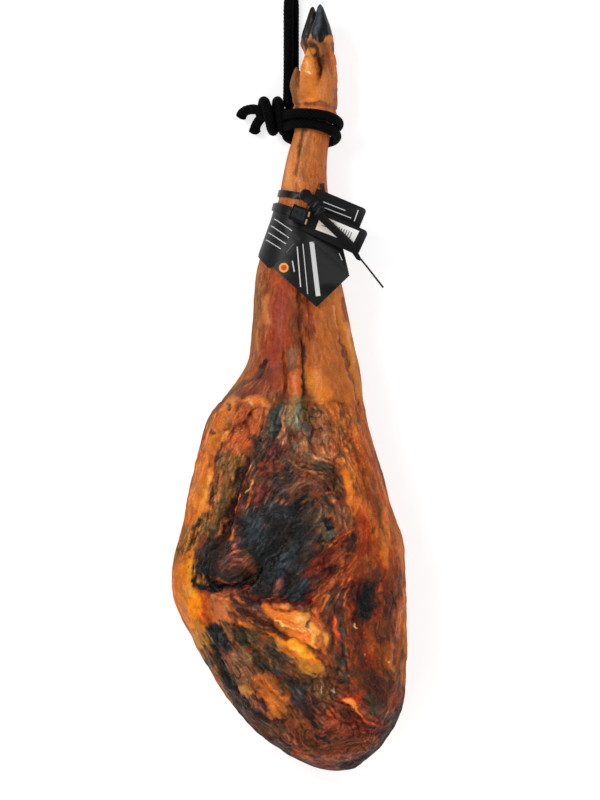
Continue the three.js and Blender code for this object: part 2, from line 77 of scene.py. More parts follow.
# The camera comes first: straight above, with a long lens that takes in the height of the picture.
VIEW_HEIGHT = 3.5
LEG_MIDDLE = 0.045
PICTURE_ACROSS = 600
PICTURE_DOWN = 800
SENSOR = 36.0
camera = new_object("camera", bpy.data.cameras.new("camera"))
camera.data.lens = SENSOR * VIEW_HEIGHT / (PICTURE_DOWN * UNIT)
camera.data.sensor_width = SENSOR
camera.data.clip_end = 50.0
camera.location = (*place(PICTURE_ACROSS / 2, PICTURE_DOWN / 2), LEG_MIDDLE + VIEW_HEIGHT)
bpy.context.scene.camera = camera


# Repeatable noise on points, from -1 to 1.
def lattice(ix, iy, iz, seed):
    h = (ix * 73856093) ^ (iy * 19349663) ^ (iz * 83492791) ^ (seed * 2654435761)
    h &= 0xFFFFFFFF
    h = ((h ^ (h >> 15)) * 2246822519) & 0xFFFFFFFF
    h = ((h ^ (h >> 13)) * 3266489917) & 0xFFFFFFFF
    return ((h ^ (h >> 16)) & 0xFFFF) / 32767.5 - 1.0


def noise(points, size, seed=0):
    p = points / size
    base = np.floor(p).astype(np.int64)
    f = p - base
    f = f * f * (3.0 - 2.0 * f)
    total = np.zeros(len(points))
    for dx in (0, 1):
        for dy in (0, 1):
            for dz in (0, 1):
                share = (
                    (f[:, 0] if dx else 1 - f[:, 0])
                    * (f[:, 1] if dy else 1 - f[:, 1])
                    * (f[:, 2] if dz else 1 - f[:, 2])
                )
                total += share * lattice(base[:, 0] + dx, base[:, 1] + dy, base[:, 2] + dz, seed)
    return total


def layers(points, size, count, seed=0):
    total = np.zeros(len(points))
    height = 1.0
    for k in range(count):
        total += height * noise(points, size / 2**k, seed + 17 * k)
        height *= 0.55
    return total


def line_distance(x, y, line):
    """Distance from each point to a polyline."""
    best = np.full(len(x), 1e9)
    for (ax, ay), (bx, by) in zip(line, line[1:] or line):
        dx, dy = bx - ax, by - ay
        squared = dx * dx + dy * dy
        t = np.clip(((x - ax) * dx + (y - ay) * dy) / squared, 0, 1) if squared > 0 else 0.0
        best = np.minimum(best, np.hypot(x - ax - t * dx, y - ay - t * dy))
    return best


# Colours of cured meat, fat, rind and horn, and of the painted sheens, glints and highlights laid over them.
LIGHT_FAT = (250, 176, 88)
WINE = (98, 34, 24)
RAW_BROWN = (96, 56, 38)
BLACK_MEAT = (30, 29, 29)
SLATE_PAINTED_SHEEN = (50, 57, 62)
TEAL = (44, 66, 68)
GREEN_GREY = (64, 64, 54)
RIND = (172, 92, 38)
MUSCLE = (150, 62, 34)
TROTTER = (206, 130, 70)
MOULD = (50, 46, 38)
RUST = (140, 60, 28)
BROWN_STREAK = (104, 48, 22)
GOLD_STREAK = (222, 134, 58)
PIT = (44, 24, 14)
PAINTED_WET_SHEEN = (92, 98, 104)
PALE_FLECK = (206, 122, 70)
PAINTED_GLINT = (236, 214, 190)
PAINTED_CREST_HIGHLIGHT = (96, 62, 40)
FIBRE_LIGHT = (92, 56, 36)
# The horn's own near-black, its painted sheen, the painted highlight along the lips of its split, and the
# dark seam where horn meets skin.
HORN_DARK = (21, 19, 18)
HORN_PAINTED_SHEEN = (74, 84, 92)
HORN_LIP_HIGHLIGHT = (60, 58, 56)
HORN_SEAM = (64, 38, 26)

# Broad colours first, then smaller ones: colour, half width, opacity, softness, line.
BROAD = [
    (RIND, 40, 1.0, 0.6, [(385, 420), (392, 560), (390, 700)]),
    (RIND, 60, 1.0, 0.5, [(340, 420), (360, 560), (350, 700)]),
    (TROTTER, 40, 1.0, 0.5, [(312, 20), (312, 120)]),
    (TROTTER, 34, 0.85, 0.5, [(312, 120), (300, 215)]),
    (RIND, 18, 0.7, 0.7, [(338, 60), (338, 110), (328, 150), (328, 200)]),
    (RIND, 50, 0.9, 0.5, [(300, 245), (300, 390)]),
    ((170, 106, 52), 12, 0.85, 0.6, [(260, 262), (258, 320), (254, 356)]),
    (MUSCLE, 20, 0.85, 0.6, [(284, 270), (280, 330), (270, 372)]),
    ((178, 100, 46), 17, 0.95, 0.5, [(322, 300), (325, 350), (326, 392)]),
    ((198, 120, 48), 8, 0.9, 0.6, [(340, 300), (350, 350), (357, 396)]),
    ((170, 86, 30), 20, 1.0, 0.6, [(232, 412), (216, 438), (206, 476)]),
    ((194, 112, 36), 17, 1.0, 0.6, [(206, 476), (197, 520), (189, 562), (186, 602)]),
    ((152, 96, 42), 7, 0.75, 0.9, [(184, 530), (181, 560), (178, 582)]),
    ((184, 98, 50), 17, 0.95, 0.6, [(258, 412), (244, 436), (234, 452)]),
    (RAW_BROWN, 34, 1.0, 0.4, [(282, 430), (276, 470), (290, 500)]),
    (RAW_BROWN, 30, 0.95, 0.45, [(312, 430), (312, 480), (322, 515)]),
    ((126, 84, 42), 12, 0.95, 0.5, [(232, 458), (224, 490), (214, 520), (206, 546)]),
    (BLACK_MEAT, 29, 1.0, 0.45, [(268, 522), (290, 545), (278, 572)]),
    (BLACK_MEAT, 20, 1.0, 0.45, [(302, 520), (309, 548), (304, 572), (298, 588)]),
    (BLACK_MEAT, 17, 1.0, 0.35, [(252, 525), (254, 552), (262, 580), (258, 592)]),
    ((102, 41, 18), 26, 0.9, 0.6, [(352, 556), (356, 600), (352, 650), (362, 690)]),
    ((242, 148, 34), 19, 1.0, 0.6, [(192, 580), (194, 613)]),
    ((188, 126, 48), 12, 1.0, 0.6, [(198, 626), (205, 646)]),
    ((196, 122, 68), 13, 1.0, 0.9, [(216, 600), (228, 612)]),
    ((104, 62, 36), 40, 1.0, 0.4, [(262, 650), (292, 700), (322, 740)]),
    ((118, 72, 44), 22, 0.9, 0.5, [(232, 652), (248, 690), (272, 724)]),
    (RAW_BROWN, 24, 0.95, 0.5, [(300, 690), (340, 700)]),
    ((124, 60, 38), 34, 0.95, 0.45, [(312, 745), (346, 738), (368, 716)]),
    ((92, 54, 36), 14, 0.95, 0.5, [(334, 584), (330, 624), (334, 660)]),
    ((116, 58, 24), 18, 0.85, 0.6, [(384, 570), (386, 620), (392, 690)]),
    (LIGHT_FAT, 10, 1.0, 0.4, [(281, 611), (296, 620), (311, 631), (317, 638)]),
]

FINE = [
    # The trotter and the shank above the label.
    ((126, 72, 40), 6.5, 0.85, 0.8, [(322, 48), (324, 60), (322, 70)]),
    ((92, 56, 34), 4.5, 0.95, 0.7, [(301, 40), (305, 46), (308, 50)]),
    ((150, 92, 52), 2.0, 0.8, 0.8, [(310, 37), (314, 43), (320, 46)]),
    ((206, 116, 44), 3.0, 0.8, 0.8, [(334, 54), (336, 72)]),
    ((120, 62, 34), 2.4, 0.8, 0.8, [(333, 44), (335, 49)]),
    ((154, 76, 40), 4.6, 0.7, 0.8, [(328, 60), (328, 72)]),
    ((190, 122, 66), 8, 0.7, 0.9, [(322, 80), (326, 96)]),
    ((216, 132, 52), 8.0, 0.95, 0.6, [(309, 62), (307, 78), (308, 102)]),
    ((222, 142, 64), 3.2, 0.95, 0.7, [(308.6, 50.5), (308.6, 60)]),
    # Painted shade in the gaps on both sides of the dewclaw's tip.
    ((66, 44, 34), 2.6, 0.9, 0.9, [(302.5, 43), (304, 49), (304.2, 54)]),
    ((86, 56, 40), 2.8, 0.85, 0.9, [(311.4, 43.5), (313.6, 48), (315, 56)]),
    ((176, 106, 60), 1.0, 0.7, 0.8, [(304, 59.5), (309, 58.4), (313, 60)]),
    # Painted highlight down the dewclaw, with a small white glint.
    ((240, 176, 110), 2.2, 0.7, 0.9, [(308.5, 66), (309, 77)]),
    ((250, 226, 200), 0.8, 0.8, 0.8, [(308.8, 76), (309, 78)]),
    ((120, 76, 46), 5, 0.9, 0.6, [(296, 70), (293, 84), (297, 106)]),
    ((196, 128, 74), 4, 0.7, 0.9, [(304, 84), (302, 100)]),
    # Painted shade in the fold beside the dewclaw and on its right.
    ((66, 38, 22), 2.3, 0.95, 0.7, [(313.5, 47), (315.8, 56), (317.6, 66), (318.4, 73)]),
    ((72, 42, 26), 2.2, 0.85, 0.8, [(321, 59), (320, 66), (318.5, 71)]),
    ((134, 74, 46), 3.2, 0.75, 0.8, [(337, 90), (336, 106)]),
    ((164, 92, 66), 2.2, 0.8, 0.7, [(308, 105), (320, 106), (330, 108)]),
    ((118, 62, 40), 1.0, 0.7, 0.8, [(309, 103.6), (320, 103), (330, 106)]),
    ((64, 38, 24), 3.0, 0.8, 1.0, [(303, 132), (300.5, 142), (299, 152)]),
    ((104, 62, 36), 2.2, 0.6, 1.0, [(299, 150), (297, 162), (296, 174)]),
    ((150, 88, 48), 3, 0.6, 0.8, [(310, 136), (306, 156), (304, 180)]),
    ((188, 98, 42), 5, 0.7, 0.8, [(326, 140), (326, 190)]),
    ((228, 160, 96), 3.5, 0.5, 0.8, [(288, 168), (290, 190)]),
    # The shank below the label.
    ((196, 128, 80), 4, 0.75, 0.8, [(265, 300), (265, 322)]),
    ((150, 88, 44), 3.5, 0.7, 0.8, [(255, 290), (254, 350)]),
    ((178, 82, 34), 6, 0.8, 0.8, [(277, 272), (278, 296)]),
    ((152, 58, 38), 6.5, 0.9, 0.7, [(281, 294), (279, 322), (275, 345), (270, 362)]),
    # Painted highlight down the middle of the red muscle.
    ((160, 74, 54), 3, 0.8, 0.9, [(281, 308), (280, 330), (277, 348)]),
    ((124, 64, 36), 5, 0.9, 0.6, [(295, 300), (296, 340), (293, 366)]),
    ((142, 98, 72), 3.5, 0.7, 0.9, [(294, 352), (293, 364)]),
    ((100, 42, 22), 3.8, 0.9, 0.9, [(301.5, 290), (301.5, 320), (303.4, 342)]),
    ((62, 26, 14), 2.6, 1.0, 0.8, [(303.4, 342), (304, 352), (303.5, 372), (304.5, 398)]),
    ((104, 46, 22), 1.7, 0.95, 0.6, [(284, 354), (284, 374), (285, 398)]),
    ((192, 94, 42), 5, 0.9, 0.6, [(292, 376), (295, 398)]),
    # Painted highlight on the orange stub between the grooves.
    ((214, 124, 70), 1.6, 0.8, 0.8, [(292, 376), (294, 394)]),
    ((112, 50, 32), 7, 0.9, 0.8, [(268, 376), (254, 392), (243, 396)]),
    ((58, 30, 26), 2.6, 0.95, 0.6, [(265, 362), (262, 366)]),
    ((58, 30, 26), 2, 0.9, 0.6, [(262, 375), (258, 378)]),
    ((92, 64, 56), 1.7, 0.85, 0.7, [(222, 402), (232, 393), (252, 380), (263, 369)]),
    ((138, 98, 58), 5, 0.8, 0.7, [(246, 368), (236, 384), (226, 396)]),
    ((140, 62, 36), 4, 0.85, 0.7, [(309, 300), (311, 336)]),
    ((208, 128, 48), 9, 0.9, 0.6, [(316, 378), (324, 394)]),
    ((218, 150, 104), 1.1, 0.8, 0.7, [(331, 306), (335.5, 327), (339, 342)]),
    ((104, 48, 26), 1.6, 0.9, 0.7, [(337, 332), (345, 357), (353, 385), (356, 402), (358, 424)]),
    ((138, 56, 32), 4, 0.8, 0.7, [(342, 300), (346, 318)]),
    ((222, 150, 70), 2.6, 0.6, 0.8, [(347, 330), (354, 362)]),
    ((124, 62, 26), 1.3, 0.8, 0.7, [(246, 402), (262, 398), (285, 402), (305, 402), (330, 403), (345, 404)]),
    ((212, 120, 50), 2, 0.8, 0.7, [(232, 404), (250, 400), (262, 402)]),
    # The fat border on the left.
    ((192, 116, 48), 8, 0.9, 0.9, [(230, 411), (219, 423), (212, 440)]),
    ((206, 130, 62), 4, 0.8, 0.9, [(236, 401), (226, 409)]),
    ((212, 126, 46), 4, 0.7, 0.9, [(214, 432), (204, 470), (197, 505)]),
    ((222, 140, 58), 2.4, 0.7, 0.9, [(226, 434), (224, 438)]),
    ((224, 142, 56), 2.2, 0.7, 0.9, [(210, 446), (214, 452)]),
    ((232, 156, 84), 2.0, 0.7, 0.9, [(211, 472), (209, 482)]),
    ((230, 152, 70), 3.2, 0.75, 0.9, [(206, 492), (203, 508)]),
    ((214, 128, 62), 4.2, 0.8, 0.9, [(250, 402), (258, 401), (266, 404)]),
    ((246, 190, 120), 1.5, 0.85, 0.8, [(250, 403), (252, 406)]),
    ((168, 86, 58), 4.0, 0.5, 1.0, [(240, 406), (246, 409)]),
    ((206, 128, 76), 4.0, 0.6, 0.9, [(232, 416), (242, 420)]),
    ((188, 94, 52), 5, 0.7, 0.9, [(246, 410), (238, 422), (250, 424)]),
    ((200, 106, 54), 6, 0.75, 0.9, [(258, 412), (252, 428), (242, 446)]),
    ((132, 66, 34), 3.4, 0.8, 0.9, [(265, 410), (263, 422)]),
    ((132, 58, 40), 2.2, 0.75, 0.9, [(250, 414), (243, 424), (233, 434), (226, 444)]),
    ((66, 28, 34), 1.2, 0.9, 0.8, [(245, 421), (243, 424)]),
    ((70, 36, 40), 1.3, 0.9, 0.8, [(235, 431), (233.5, 434)]),
    ((74, 36, 30), 1.1, 0.8, 0.9, [(228, 407), (230, 408)]),
    ((96, 44, 26), 1.2, 0.8, 0.9, [(210, 434), (214, 432)]),
    ((92, 40, 36), 1.8, 0.9, 0.8, [(224, 443), (221, 450), (218, 462)]),
    ((84, 38, 34), 1.8, 0.9, 0.8, [(218, 460), (215.5, 474), (213, 490), (211, 506)]),
    ((70, 62, 40), 2, 0.8, 0.7, [(223, 452), (221, 462)]),
    ((186, 104, 52), 2, 0.8, 0.8, [(223, 468), (220, 484), (217, 498)]),
    ((44, 38, 24), 2.6, 0.95, 0.6, [(201, 519), (197, 525)]),
    ((56, 48, 28), 2, 0.85, 0.7, [(193, 527), (187, 546)]),
    ((88, 64, 40), 6, 0.85, 0.8, [(207, 522), (204, 540), (197, 560)]),
    ((60, 36, 26), 3.6, 0.85, 0.8, [(214, 530), (216, 540)]),
    ((92, 58, 36), 4, 0.8, 0.8, [(196, 570), (199, 578)]),
    ((222, 150, 44), 2.2, 0.85, 0.7, [(191, 556), (190, 572)]),
    ((140, 64, 26), 2, 0.7, 0.8, [(183, 548), (180, 560)]),
    ((42, 20, 16), 4.6, 0.95, 0.6, [(246, 462), (237, 482), (233, 497), (230, 518), (224, 534), (214, 544)]),
    ((78, 48, 30), 3.5, 0.85, 0.8, [(224, 500), (219, 526), (212, 542)]),
    ((190, 84, 32), 1.7, 0.9, 0.7, [(240, 494), (237, 508)]),
    ((68, 36, 32), 5, 0.9, 0.7, [(245, 490), (241, 512), (237, 538)]),
    ((250, 196, 104), 0.9, 0.95, 0.6, [(255, 480.5), (252.5, 483.5)]),
    ((236, 170, 86), 0.6, 0.9, 0.6, [(252, 484.5), (249, 488), (245.6, 492)]),
    ((236, 120, 48), 0.9, 0.9, 0.8, [(239.4, 494), (239, 497)]),
    ((236, 180, 96), 0.7, 0.9, 0.6, [(228, 538), (226.6, 541), (226, 544)]),
    # The brown meat under the cut skin.
    (GREEN_GREY, 9, 0.95, 0.5, [(282, 412), (275, 430)]),
    ((44, 48, 46), 3.5, 0.9, 0.6, [(279, 418), (276, 436)]),
    ((88, 92, 88), 2.0, 0.45, 0.8, [(284, 408), (281, 416)]),
    ((140, 112, 74), 8, 0.9, 0.6, [(298, 404), (296, 420)]),
    ((104, 100, 84), 3.4, 0.8, 0.8, [(300, 406), (299, 424)]),
    ((84, 66, 34), 3.2, 0.85, 0.7, [(307, 404), (309, 420)]),
    ((196, 118, 70), 1.1, 0.95, 0.5, [(287, 408), (282, 428), (276, 446)]),
    ((160, 108, 84), 3, 0.7, 0.8, [(284, 432), (281, 440)]),
    ((146, 88, 50), 9, 0.9, 0.7, [(322, 414), (326, 440), (324, 458)]),
    ((60, 44, 38), 2.6, 0.8, 0.7, [(315, 410), (321, 414)]),
    ((138, 92, 56), 6, 0.8, 0.8, [(304, 436), (302, 452)]),
    (TEAL, 1.7, 0.8, 0.9, [(304, 423), (306, 432), (310, 440)]),
    (TEAL, 2.2, 0.55, 0.9, [(294, 440), (294, 448)]),
    (TEAL, 3.2, 0.6, 0.8, [(307, 453), (310, 455)]),
    ((54, 50, 44), 5, 0.85, 0.7, [(254, 438), (262, 452), (252, 462)]),
    ((50, 46, 42), 3.6, 0.85, 0.7, [(290, 462), (292, 478)]),
    ((104, 44, 38), 6, 0.9, 0.7, [(278, 446), (270, 462), (262, 474)]),
    ((130, 74, 56), 3.4, 0.75, 0.9, [(273, 450), (278, 459)]),
    ((112, 46, 38), 6, 0.85, 0.7, [(264, 486), (256, 498)]),
    ((56, 54, 56), 5, 0.8, 0.7, [(278, 478), (282, 488)]),
    ((154, 92, 56), 1.2, 0.9, 0.6, [(292, 459), (302, 465), (311, 470), (322, 473), (331, 467)]),
    ((60, 60, 46), 3.6, 0.8, 0.7, [(316, 466), (328, 468)]),
    ((94, 48, 34), 5, 0.8, 0.7, [(314, 484), (312, 494)]),
    ((136, 92, 64), 3.4, 0.7, 0.9, [(309, 461), (321, 460)]),
    ((62, 62, 50), 3.4, 0.8, 0.7, [(309, 494), (311, 498)]),
    ((40, 26, 20), 0.9, 0.85, 0.8, [(334.5, 458), (334.5, 490)]),
    ((72, 42, 32), 4.5, 0.85, 0.6, [(328, 478), (327, 490)]),
    ((214, 88, 36), 0.8, 0.9, 0.7, [(326, 491.5), (332, 491)]),
    # The fat band and the ribs of skin on the right.
    ((188, 104, 44), 6, 0.85, 0.9, [(328, 404), (335, 418), (338, 428)]),
    ((142, 72, 30), 6.5, 0.85, 0.9, [(337, 440), (341, 462)]),
    ((164, 82, 28), 4.4, 0.9, 0.8, [(340, 460), (345, 474), (350, 488), (356, 502)]),
    ((226, 130, 50), 3.8, 0.95, 0.8, [(345, 473), (348, 486), (352, 498)]),
    ((208, 112, 44), 4.4, 0.9, 0.6, [(356, 500), (362, 514)]),
    ((84, 44, 30), 3.4, 0.8, 0.8, [(338, 498), (343, 508), (348, 518)]),
    ((126, 76, 50), 6, 0.7, 0.9, [(324, 430), (328, 444)]),
    ((94, 50, 28), 2.4, 0.7, 0.7, [(352, 440), (362, 470), (368, 500), (372, 530)]),
    ((130, 66, 34), 6, 0.7, 0.7, [(370, 486), (378, 512)]),
    ((96, 60, 44), 2.8, 0.75, 0.7, [(376, 452), (381, 470), (384, 484)]),
    ((206, 120, 54), 4, 0.7, 0.8, [(382, 494), (388, 530), (384, 560)]),
    ((156, 60, 22), 3.0, 0.9, 0.9, [(361, 514), (365.5, 526), (364, 542), (361, 552)]),
    ((214, 110, 50), 2, 0.6, 0.8, [(366, 500), (372, 524)]),
    ((158, 78, 34), 5, 0.7, 0.9, [(374, 544), (375, 556)]),
    ((108, 48, 26), 5.4, 0.85, 0.9, [(361, 548), (366, 566)]),
    ((84, 40, 28), 4.6, 0.85, 0.9, [(374, 572), (378, 580)]),
    # The black meat, its painted blue-grey sheen, and the small hole with painted shade in it.
    ((26, 27, 29), 9, 0.8, 0.7, [(262, 540), (282, 560), (266, 584)]),
    # Painted sheen: blue-grey highlights on the black meat.
    (SLATE_PAINTED_SHEEN, 7, 0.7, 0.9, [(252, 516), (260, 526), (250, 536)]),
    (SLATE_PAINTED_SHEEN, 6, 0.7, 0.9, [(290, 550), (284, 562)]),
    (SLATE_PAINTED_SHEEN, 5, 0.6, 0.9, [(300, 562), (306, 584), (296, 594)]),
    ((52, 56, 60), 6, 0.6, 0.9, [(272, 505), (284, 510)]),
    ((84, 66, 58), 5, 0.6, 0.9, [(315, 530), (309, 553)]),
    ((116, 62, 46), 4, 0.85, 0.9, [(313, 580), (317, 588)]),
    ((74, 58, 48), 9, 0.75, 0.8, [(320, 500), (312, 512)]),
    ((92, 78, 56), 11, 0.85, 0.8, [(327, 521), (330, 530)]),
    ((112, 66, 42), 7, 0.8, 0.7, [(342, 512), (346, 524)]),
    ((72, 78, 72), 3.4, 0.7, 0.8, [(336, 530), (330, 536)]),
    # Painted shade in the small hole, which is also carved in.
    ((26, 32, 36), 5.4, 1.0, 0.4, [(326, 520), (329, 523)]),
    ((138, 76, 40), 1.3, 0.8, 0.9, [(329, 514.5), (333, 515.5), (336.5, 521), (336, 526)]),
    ((112, 38, 24), 1.1, 0.95, 0.8, [(330.5, 516.5), (332.8, 518.5), (334, 522)]),
    ((118, 66, 54), 3.6, 0.9, 0.6, [(280, 578), (276, 590)]),
    ((112, 50, 34), 4.6, 0.85, 0.6, [(318, 545), (324, 552)]),
    # The two diagonal bands.
    (WINE, 7, 0.95, 0.5, [(346, 540), (330, 556), (316, 566)]),
    ((124, 44, 24), 4.6, 0.9, 0.9, [(350, 529), (336, 543), (322, 556), (307, 569)]),
    ((160, 66, 28), 3, 0.8, 0.9, [(352, 545), (338, 556)]),
    ((178, 96, 52), 0.6, 0.75, 0.8, [(354, 525), (342, 534.6), (331, 543)]),
    ((54, 28, 22), 4, 0.95, 0.6, [(354, 534), (351, 546)]),
    ((96, 32, 24), 4.2, 0.9, 0.6, [(336, 560), (322, 572)]),
    ((150, 64, 28), 5.4, 0.9, 0.9, [(344, 560), (331, 574), (321, 586), (313, 595)]),
    ((62, 34, 28), 6.4, 0.9, 0.9, [(337, 584), (334, 600), (336, 614)]),
    ((86, 34, 20), 4.6, 0.85, 0.9, [(346, 572), (346, 592)]),
    ((140, 52, 22), 4, 0.8, 0.8, [(350, 566), (340, 578)]),
    ((186, 98, 50), 0.6, 0.75, 0.8, [(343, 561), (331, 571), (319, 582), (311, 596)]),
    ((206, 112, 56), 1.6, 0.9, 0.7, [(326, 592), (321, 605)]),
    ((176, 74, 34), 2.0, 0.85, 0.8, [(312, 598), (318, 594), (319, 604)]),
    # The hip knob and its crease.
    ((40, 30, 26), 15, 1.0, 0.4, [(214, 560), (238, 568)]),
    ((46, 32, 26), 9, 0.95, 0.5, [(212, 548), (224, 544)]),
    ((84, 50, 38), 9, 0.95, 0.7, [(226, 562), (244, 562)]),
    ((128, 60, 42), 3.4, 0.8, 0.9, [(232, 554), (236, 560)]),
    ((116, 60, 46), 4, 0.7, 0.9, [(240, 560), (250, 564)]),
    ((52, 52, 50), 2.6, 0.7, 0.9, [(222, 556), (226, 560)]),
    ((150, 70, 62), 2.4, 0.85, 0.8, [(235, 543), (237, 550)]),
    ((112, 70, 46), 4, 0.7, 0.8, [(244, 548), (248, 560)]),
    ((22, 21, 21), 7, 1.0, 0.5, [(200, 566), (208, 572)]),
    ((30, 20, 16), 4.4, 1.0, 0.5, [(196, 580), (202, 586)]),
    # Painted shade in the crease under the knob, which is also carved in.
    ((20, 14, 12), 3, 1.0, 0.5, [(208, 577), (220, 586), (236, 586), (252, 578), (258, 566)]),
    ((40, 22, 18), 3.4, 0.95, 0.8, [(214, 578), (228, 583), (246, 580)]),
    ((96, 56, 42), 0.6, 0.7, 0.9, [(220, 577.5), (232, 580), (244, 578)]),
    ((140, 44, 24), 2.2, 0.9, 0.6, [(208, 588), (228, 591), (250, 586)]),
    # The fat below the knob.
    ((248, 152, 34), 6, 0.8, 0.9, [(196, 592), (198, 608)]),
    ((208, 124, 36), 4, 0.8, 0.9, [(182, 556), (181, 590), (184, 610), (192, 624)]),
    # Painted shade just under the knob's crease.
    ((18, 10, 10), 4.0, 1.0, 0.7, [(204, 584), (214, 586), (226, 585), (240, 585)]),
    ((250, 178, 84), 3, 0.7, 0.8, [(192, 584), (190, 592)]),
    ((196, 92, 34), 4, 0.7, 1.0, [(206, 592), (208, 606), (206, 616)]),
    ((150, 76, 34), 5, 0.9, 0.8, [(222, 595), (240, 595)]),
    ((74, 30, 28), 5, 0.95, 0.5, [(244, 592), (262, 596)]),
    ((56, 26, 26), 2.8, 0.95, 0.5, [(233, 594), (239, 603), (252, 605)]),
    ((200, 132, 84), 4, 0.5, 1.0, [(218, 604), (226, 612)]),
    ((124, 64, 34), 4, 0.8, 0.9, [(234, 602), (238, 610)]),
    ((166, 86, 48), 3, 0.8, 0.7, [(232, 612), (236, 618)]),
    ((92, 32, 28), 2.0, 1.0, 0.7, [(262, 597), (278, 596), (293, 600), (309, 599)]),
    ((120, 66, 46), 2.4, 0.8, 0.9, [(292, 605), (306, 605)]),
    ((126, 74, 44), 4.8, 0.95, 0.6, [(240, 606), (256, 611), (267, 617)]),
    ((104, 84, 74), 2.4, 0.8, 0.8, [(254, 605), (262, 604)]),
    ((84, 44, 28), 2.8, 1.0, 0.6, [
        (240, 606), (256, 611), (268, 620), (280, 629), (296, 636), (306, 641), (318, 648),
    ]),
    ((184, 66, 28), 2.4, 0.85, 0.9, [(270, 602), (284, 606), (296, 607)]),
    ((238, 136, 56), 3.4, 0.9, 0.8, [(268, 603), (273, 610), (282, 615)]),
    ((240, 154, 70), 4.4, 0.85, 0.8, [(292, 613), (304, 614)]),
    ((255, 184, 100), 3.4, 0.85, 0.9, [(299, 622), (308, 627)]),
    ((232, 178, 112), 2.4, 0.8, 0.9, [(299, 614), (304, 618)]),
    ((186, 96, 50), 3.6, 0.9, 0.8, [(316, 610), (321, 622)]),
    ((255, 190, 102), 4.6, 0.95, 0.9, [(311, 624), (313, 634)]),
    ((188, 102, 48), 3.4, 0.85, 0.9, [(318, 632), (322, 643)]),
    ((88, 48, 34), 5, 0.95, 0.7, [(335, 624), (336, 640), (336, 652)]),
    ((232, 132, 52), 4.4, 0.85, 0.8, [(290, 624), (298, 628), (305, 634)]),
    ((184, 100, 44), 3, 0.85, 0.9, [(277, 618), (286, 626)]),
    ((255, 196, 118), 0.8, 0.8, 0.8, [(274, 616.5), (284, 620), (296, 624), (305, 627)]),
    ((206, 96, 50), 0.9, 0.6, 0.9, [(276, 612), (286, 617), (298, 619.5)]),
    ((206, 104, 44), 0.8, 0.6, 0.9, [(308, 628), (309, 638), (305, 640)]),
    ((104, 86, 72), 1.5, 0.85, 0.8, [(310, 615), (306.5, 619), (307.5, 623)]),
    ((230, 130, 36), 2.0, 1.0, 0.8, [(242, 617), (254, 622), (266, 628), (280, 636)]),
    ((236, 138, 36), 3.0, 1.0, 0.8, [(280, 637), (294, 645), (306, 653), (316, 657)]),
    ((176, 88, 34), 1.6, 0.8, 0.8, [(246, 617), (258, 623), (270, 631)]),
    ((56, 36, 27), 5.6, 1.0, 0.8, [(240, 626), (254, 633), (266, 641), (276, 650), (286, 660)]),
    ((196, 130, 70), 1.4, 0.7, 0.8, [(278, 641), (290, 650), (298, 656)]),
    ((255, 170, 48), 4.4, 1.0, 0.8, [(293, 639), (301, 644), (310, 652)]),
    ((255, 200, 96), 2.2, 0.8, 0.9, [(294, 645), (302, 648)]),
    ((222, 118, 30), 1.6, 0.8, 0.9, [(286, 647), (296, 652), (308, 655), (316, 658)]),
    ((204, 142, 62), 5.2, 0.9, 1.0, [(305, 660), (318, 665)]),
    ((122, 70, 36), 4.4, 0.9, 0.8, [(290, 663), (299, 671)]),
    ((216, 166, 92), 2.4, 0.4, 0.9, [(304, 667), (314, 670)]),
    ((44, 34, 30), 1.0, 0.9, 0.7, [(312.6, 668.6), (313.6, 669.2)]),
    ((112, 50, 32), 4, 0.95, 0.7, [(317, 648), (324, 655), (328, 660)]),
    ((140, 76, 42), 5, 0.8, 0.7, [(330, 646), (330, 656)]),
    ((104, 66, 38), 11, 0.85, 0.6, [(254, 634), (274, 654)]),
    ((62, 58, 40), 4.6, 0.95, 0.5, [(232, 624), (246, 642), (262, 659), (272, 672), (288, 688)]),
    ((112, 98, 60), 3, 0.7, 0.8, [(240, 646), (254, 664), (268, 678)]),
    ((60, 50, 40), 5, 0.85, 0.6, [(268, 648), (284, 653)]),
    ((52, 56, 52), 6.0, 0.95, 0.7, [(271, 664), (278, 669)]),
    ((40, 42, 42), 9, 1.0, 0.4, [(216, 630), (226, 640)]),
    ((150, 98, 62), 3, 0.85, 0.7, [(226, 620), (230, 630)]),
    ((122, 62, 42), 5, 0.85, 0.7, [(224, 648), (230, 656)]),
    ((26, 21, 20), 5.8, 1.0, 0.6, [(214, 646), (218, 660), (225, 676), (233, 690)]),
    ((122, 72, 34), 4, 0.8, 0.7, [(206, 650), (214, 672)]),
    ((58, 44, 30), 2.4, 0.8, 0.7, [(204, 650), (209, 664)]),
    ((144, 96, 64), 9, 0.85, 0.7, [(238, 654), (246, 670)]),
    ((184, 104, 42), 7.2, 1.0, 0.7, [(262, 676), (272, 688), (279, 699), (273, 706)]),
    ((206, 126, 56), 3.4, 0.7, 0.9, [(272, 692), (276, 704)]),
    ((214, 146, 78), 4.6, 1.0, 0.8, [(242, 684), (249, 688)]),
    ((128, 72, 50), 7, 0.95, 0.6, [(254, 696), (262, 706)]),
    ((68, 32, 34), 2.4, 0.95, 0.5, [(254, 689), (262, 694), (266, 704)]),
    ((56, 36, 28), 5.4, 0.95, 0.5, [(240, 698), (248, 706), (263, 717)]),
    ((48, 32, 22), 2.6, 0.85, 0.8, [(228, 692), (238, 706), (252, 722), (266, 736)]),
    ((92, 48, 28), 8, 0.7, 0.8, [(262, 728), (282, 740)]),
    ((72, 30, 24), 3, 0.9, 0.6, [(268, 716), (288, 716)]),
    ((130, 72, 36), 3.4, 0.85, 0.8, [(288, 706), (304, 722), (310, 740), (313, 752)]),
    ((50, 34, 24), 3.4, 0.85, 0.6, [(274, 738), (280, 742)]),
    ((150, 86, 44), 2.2, 0.8, 0.9, [(290, 739), (295, 742)]),
    ((72, 40, 30), 5, 0.85, 0.9, [(280, 732), (288, 746)]),
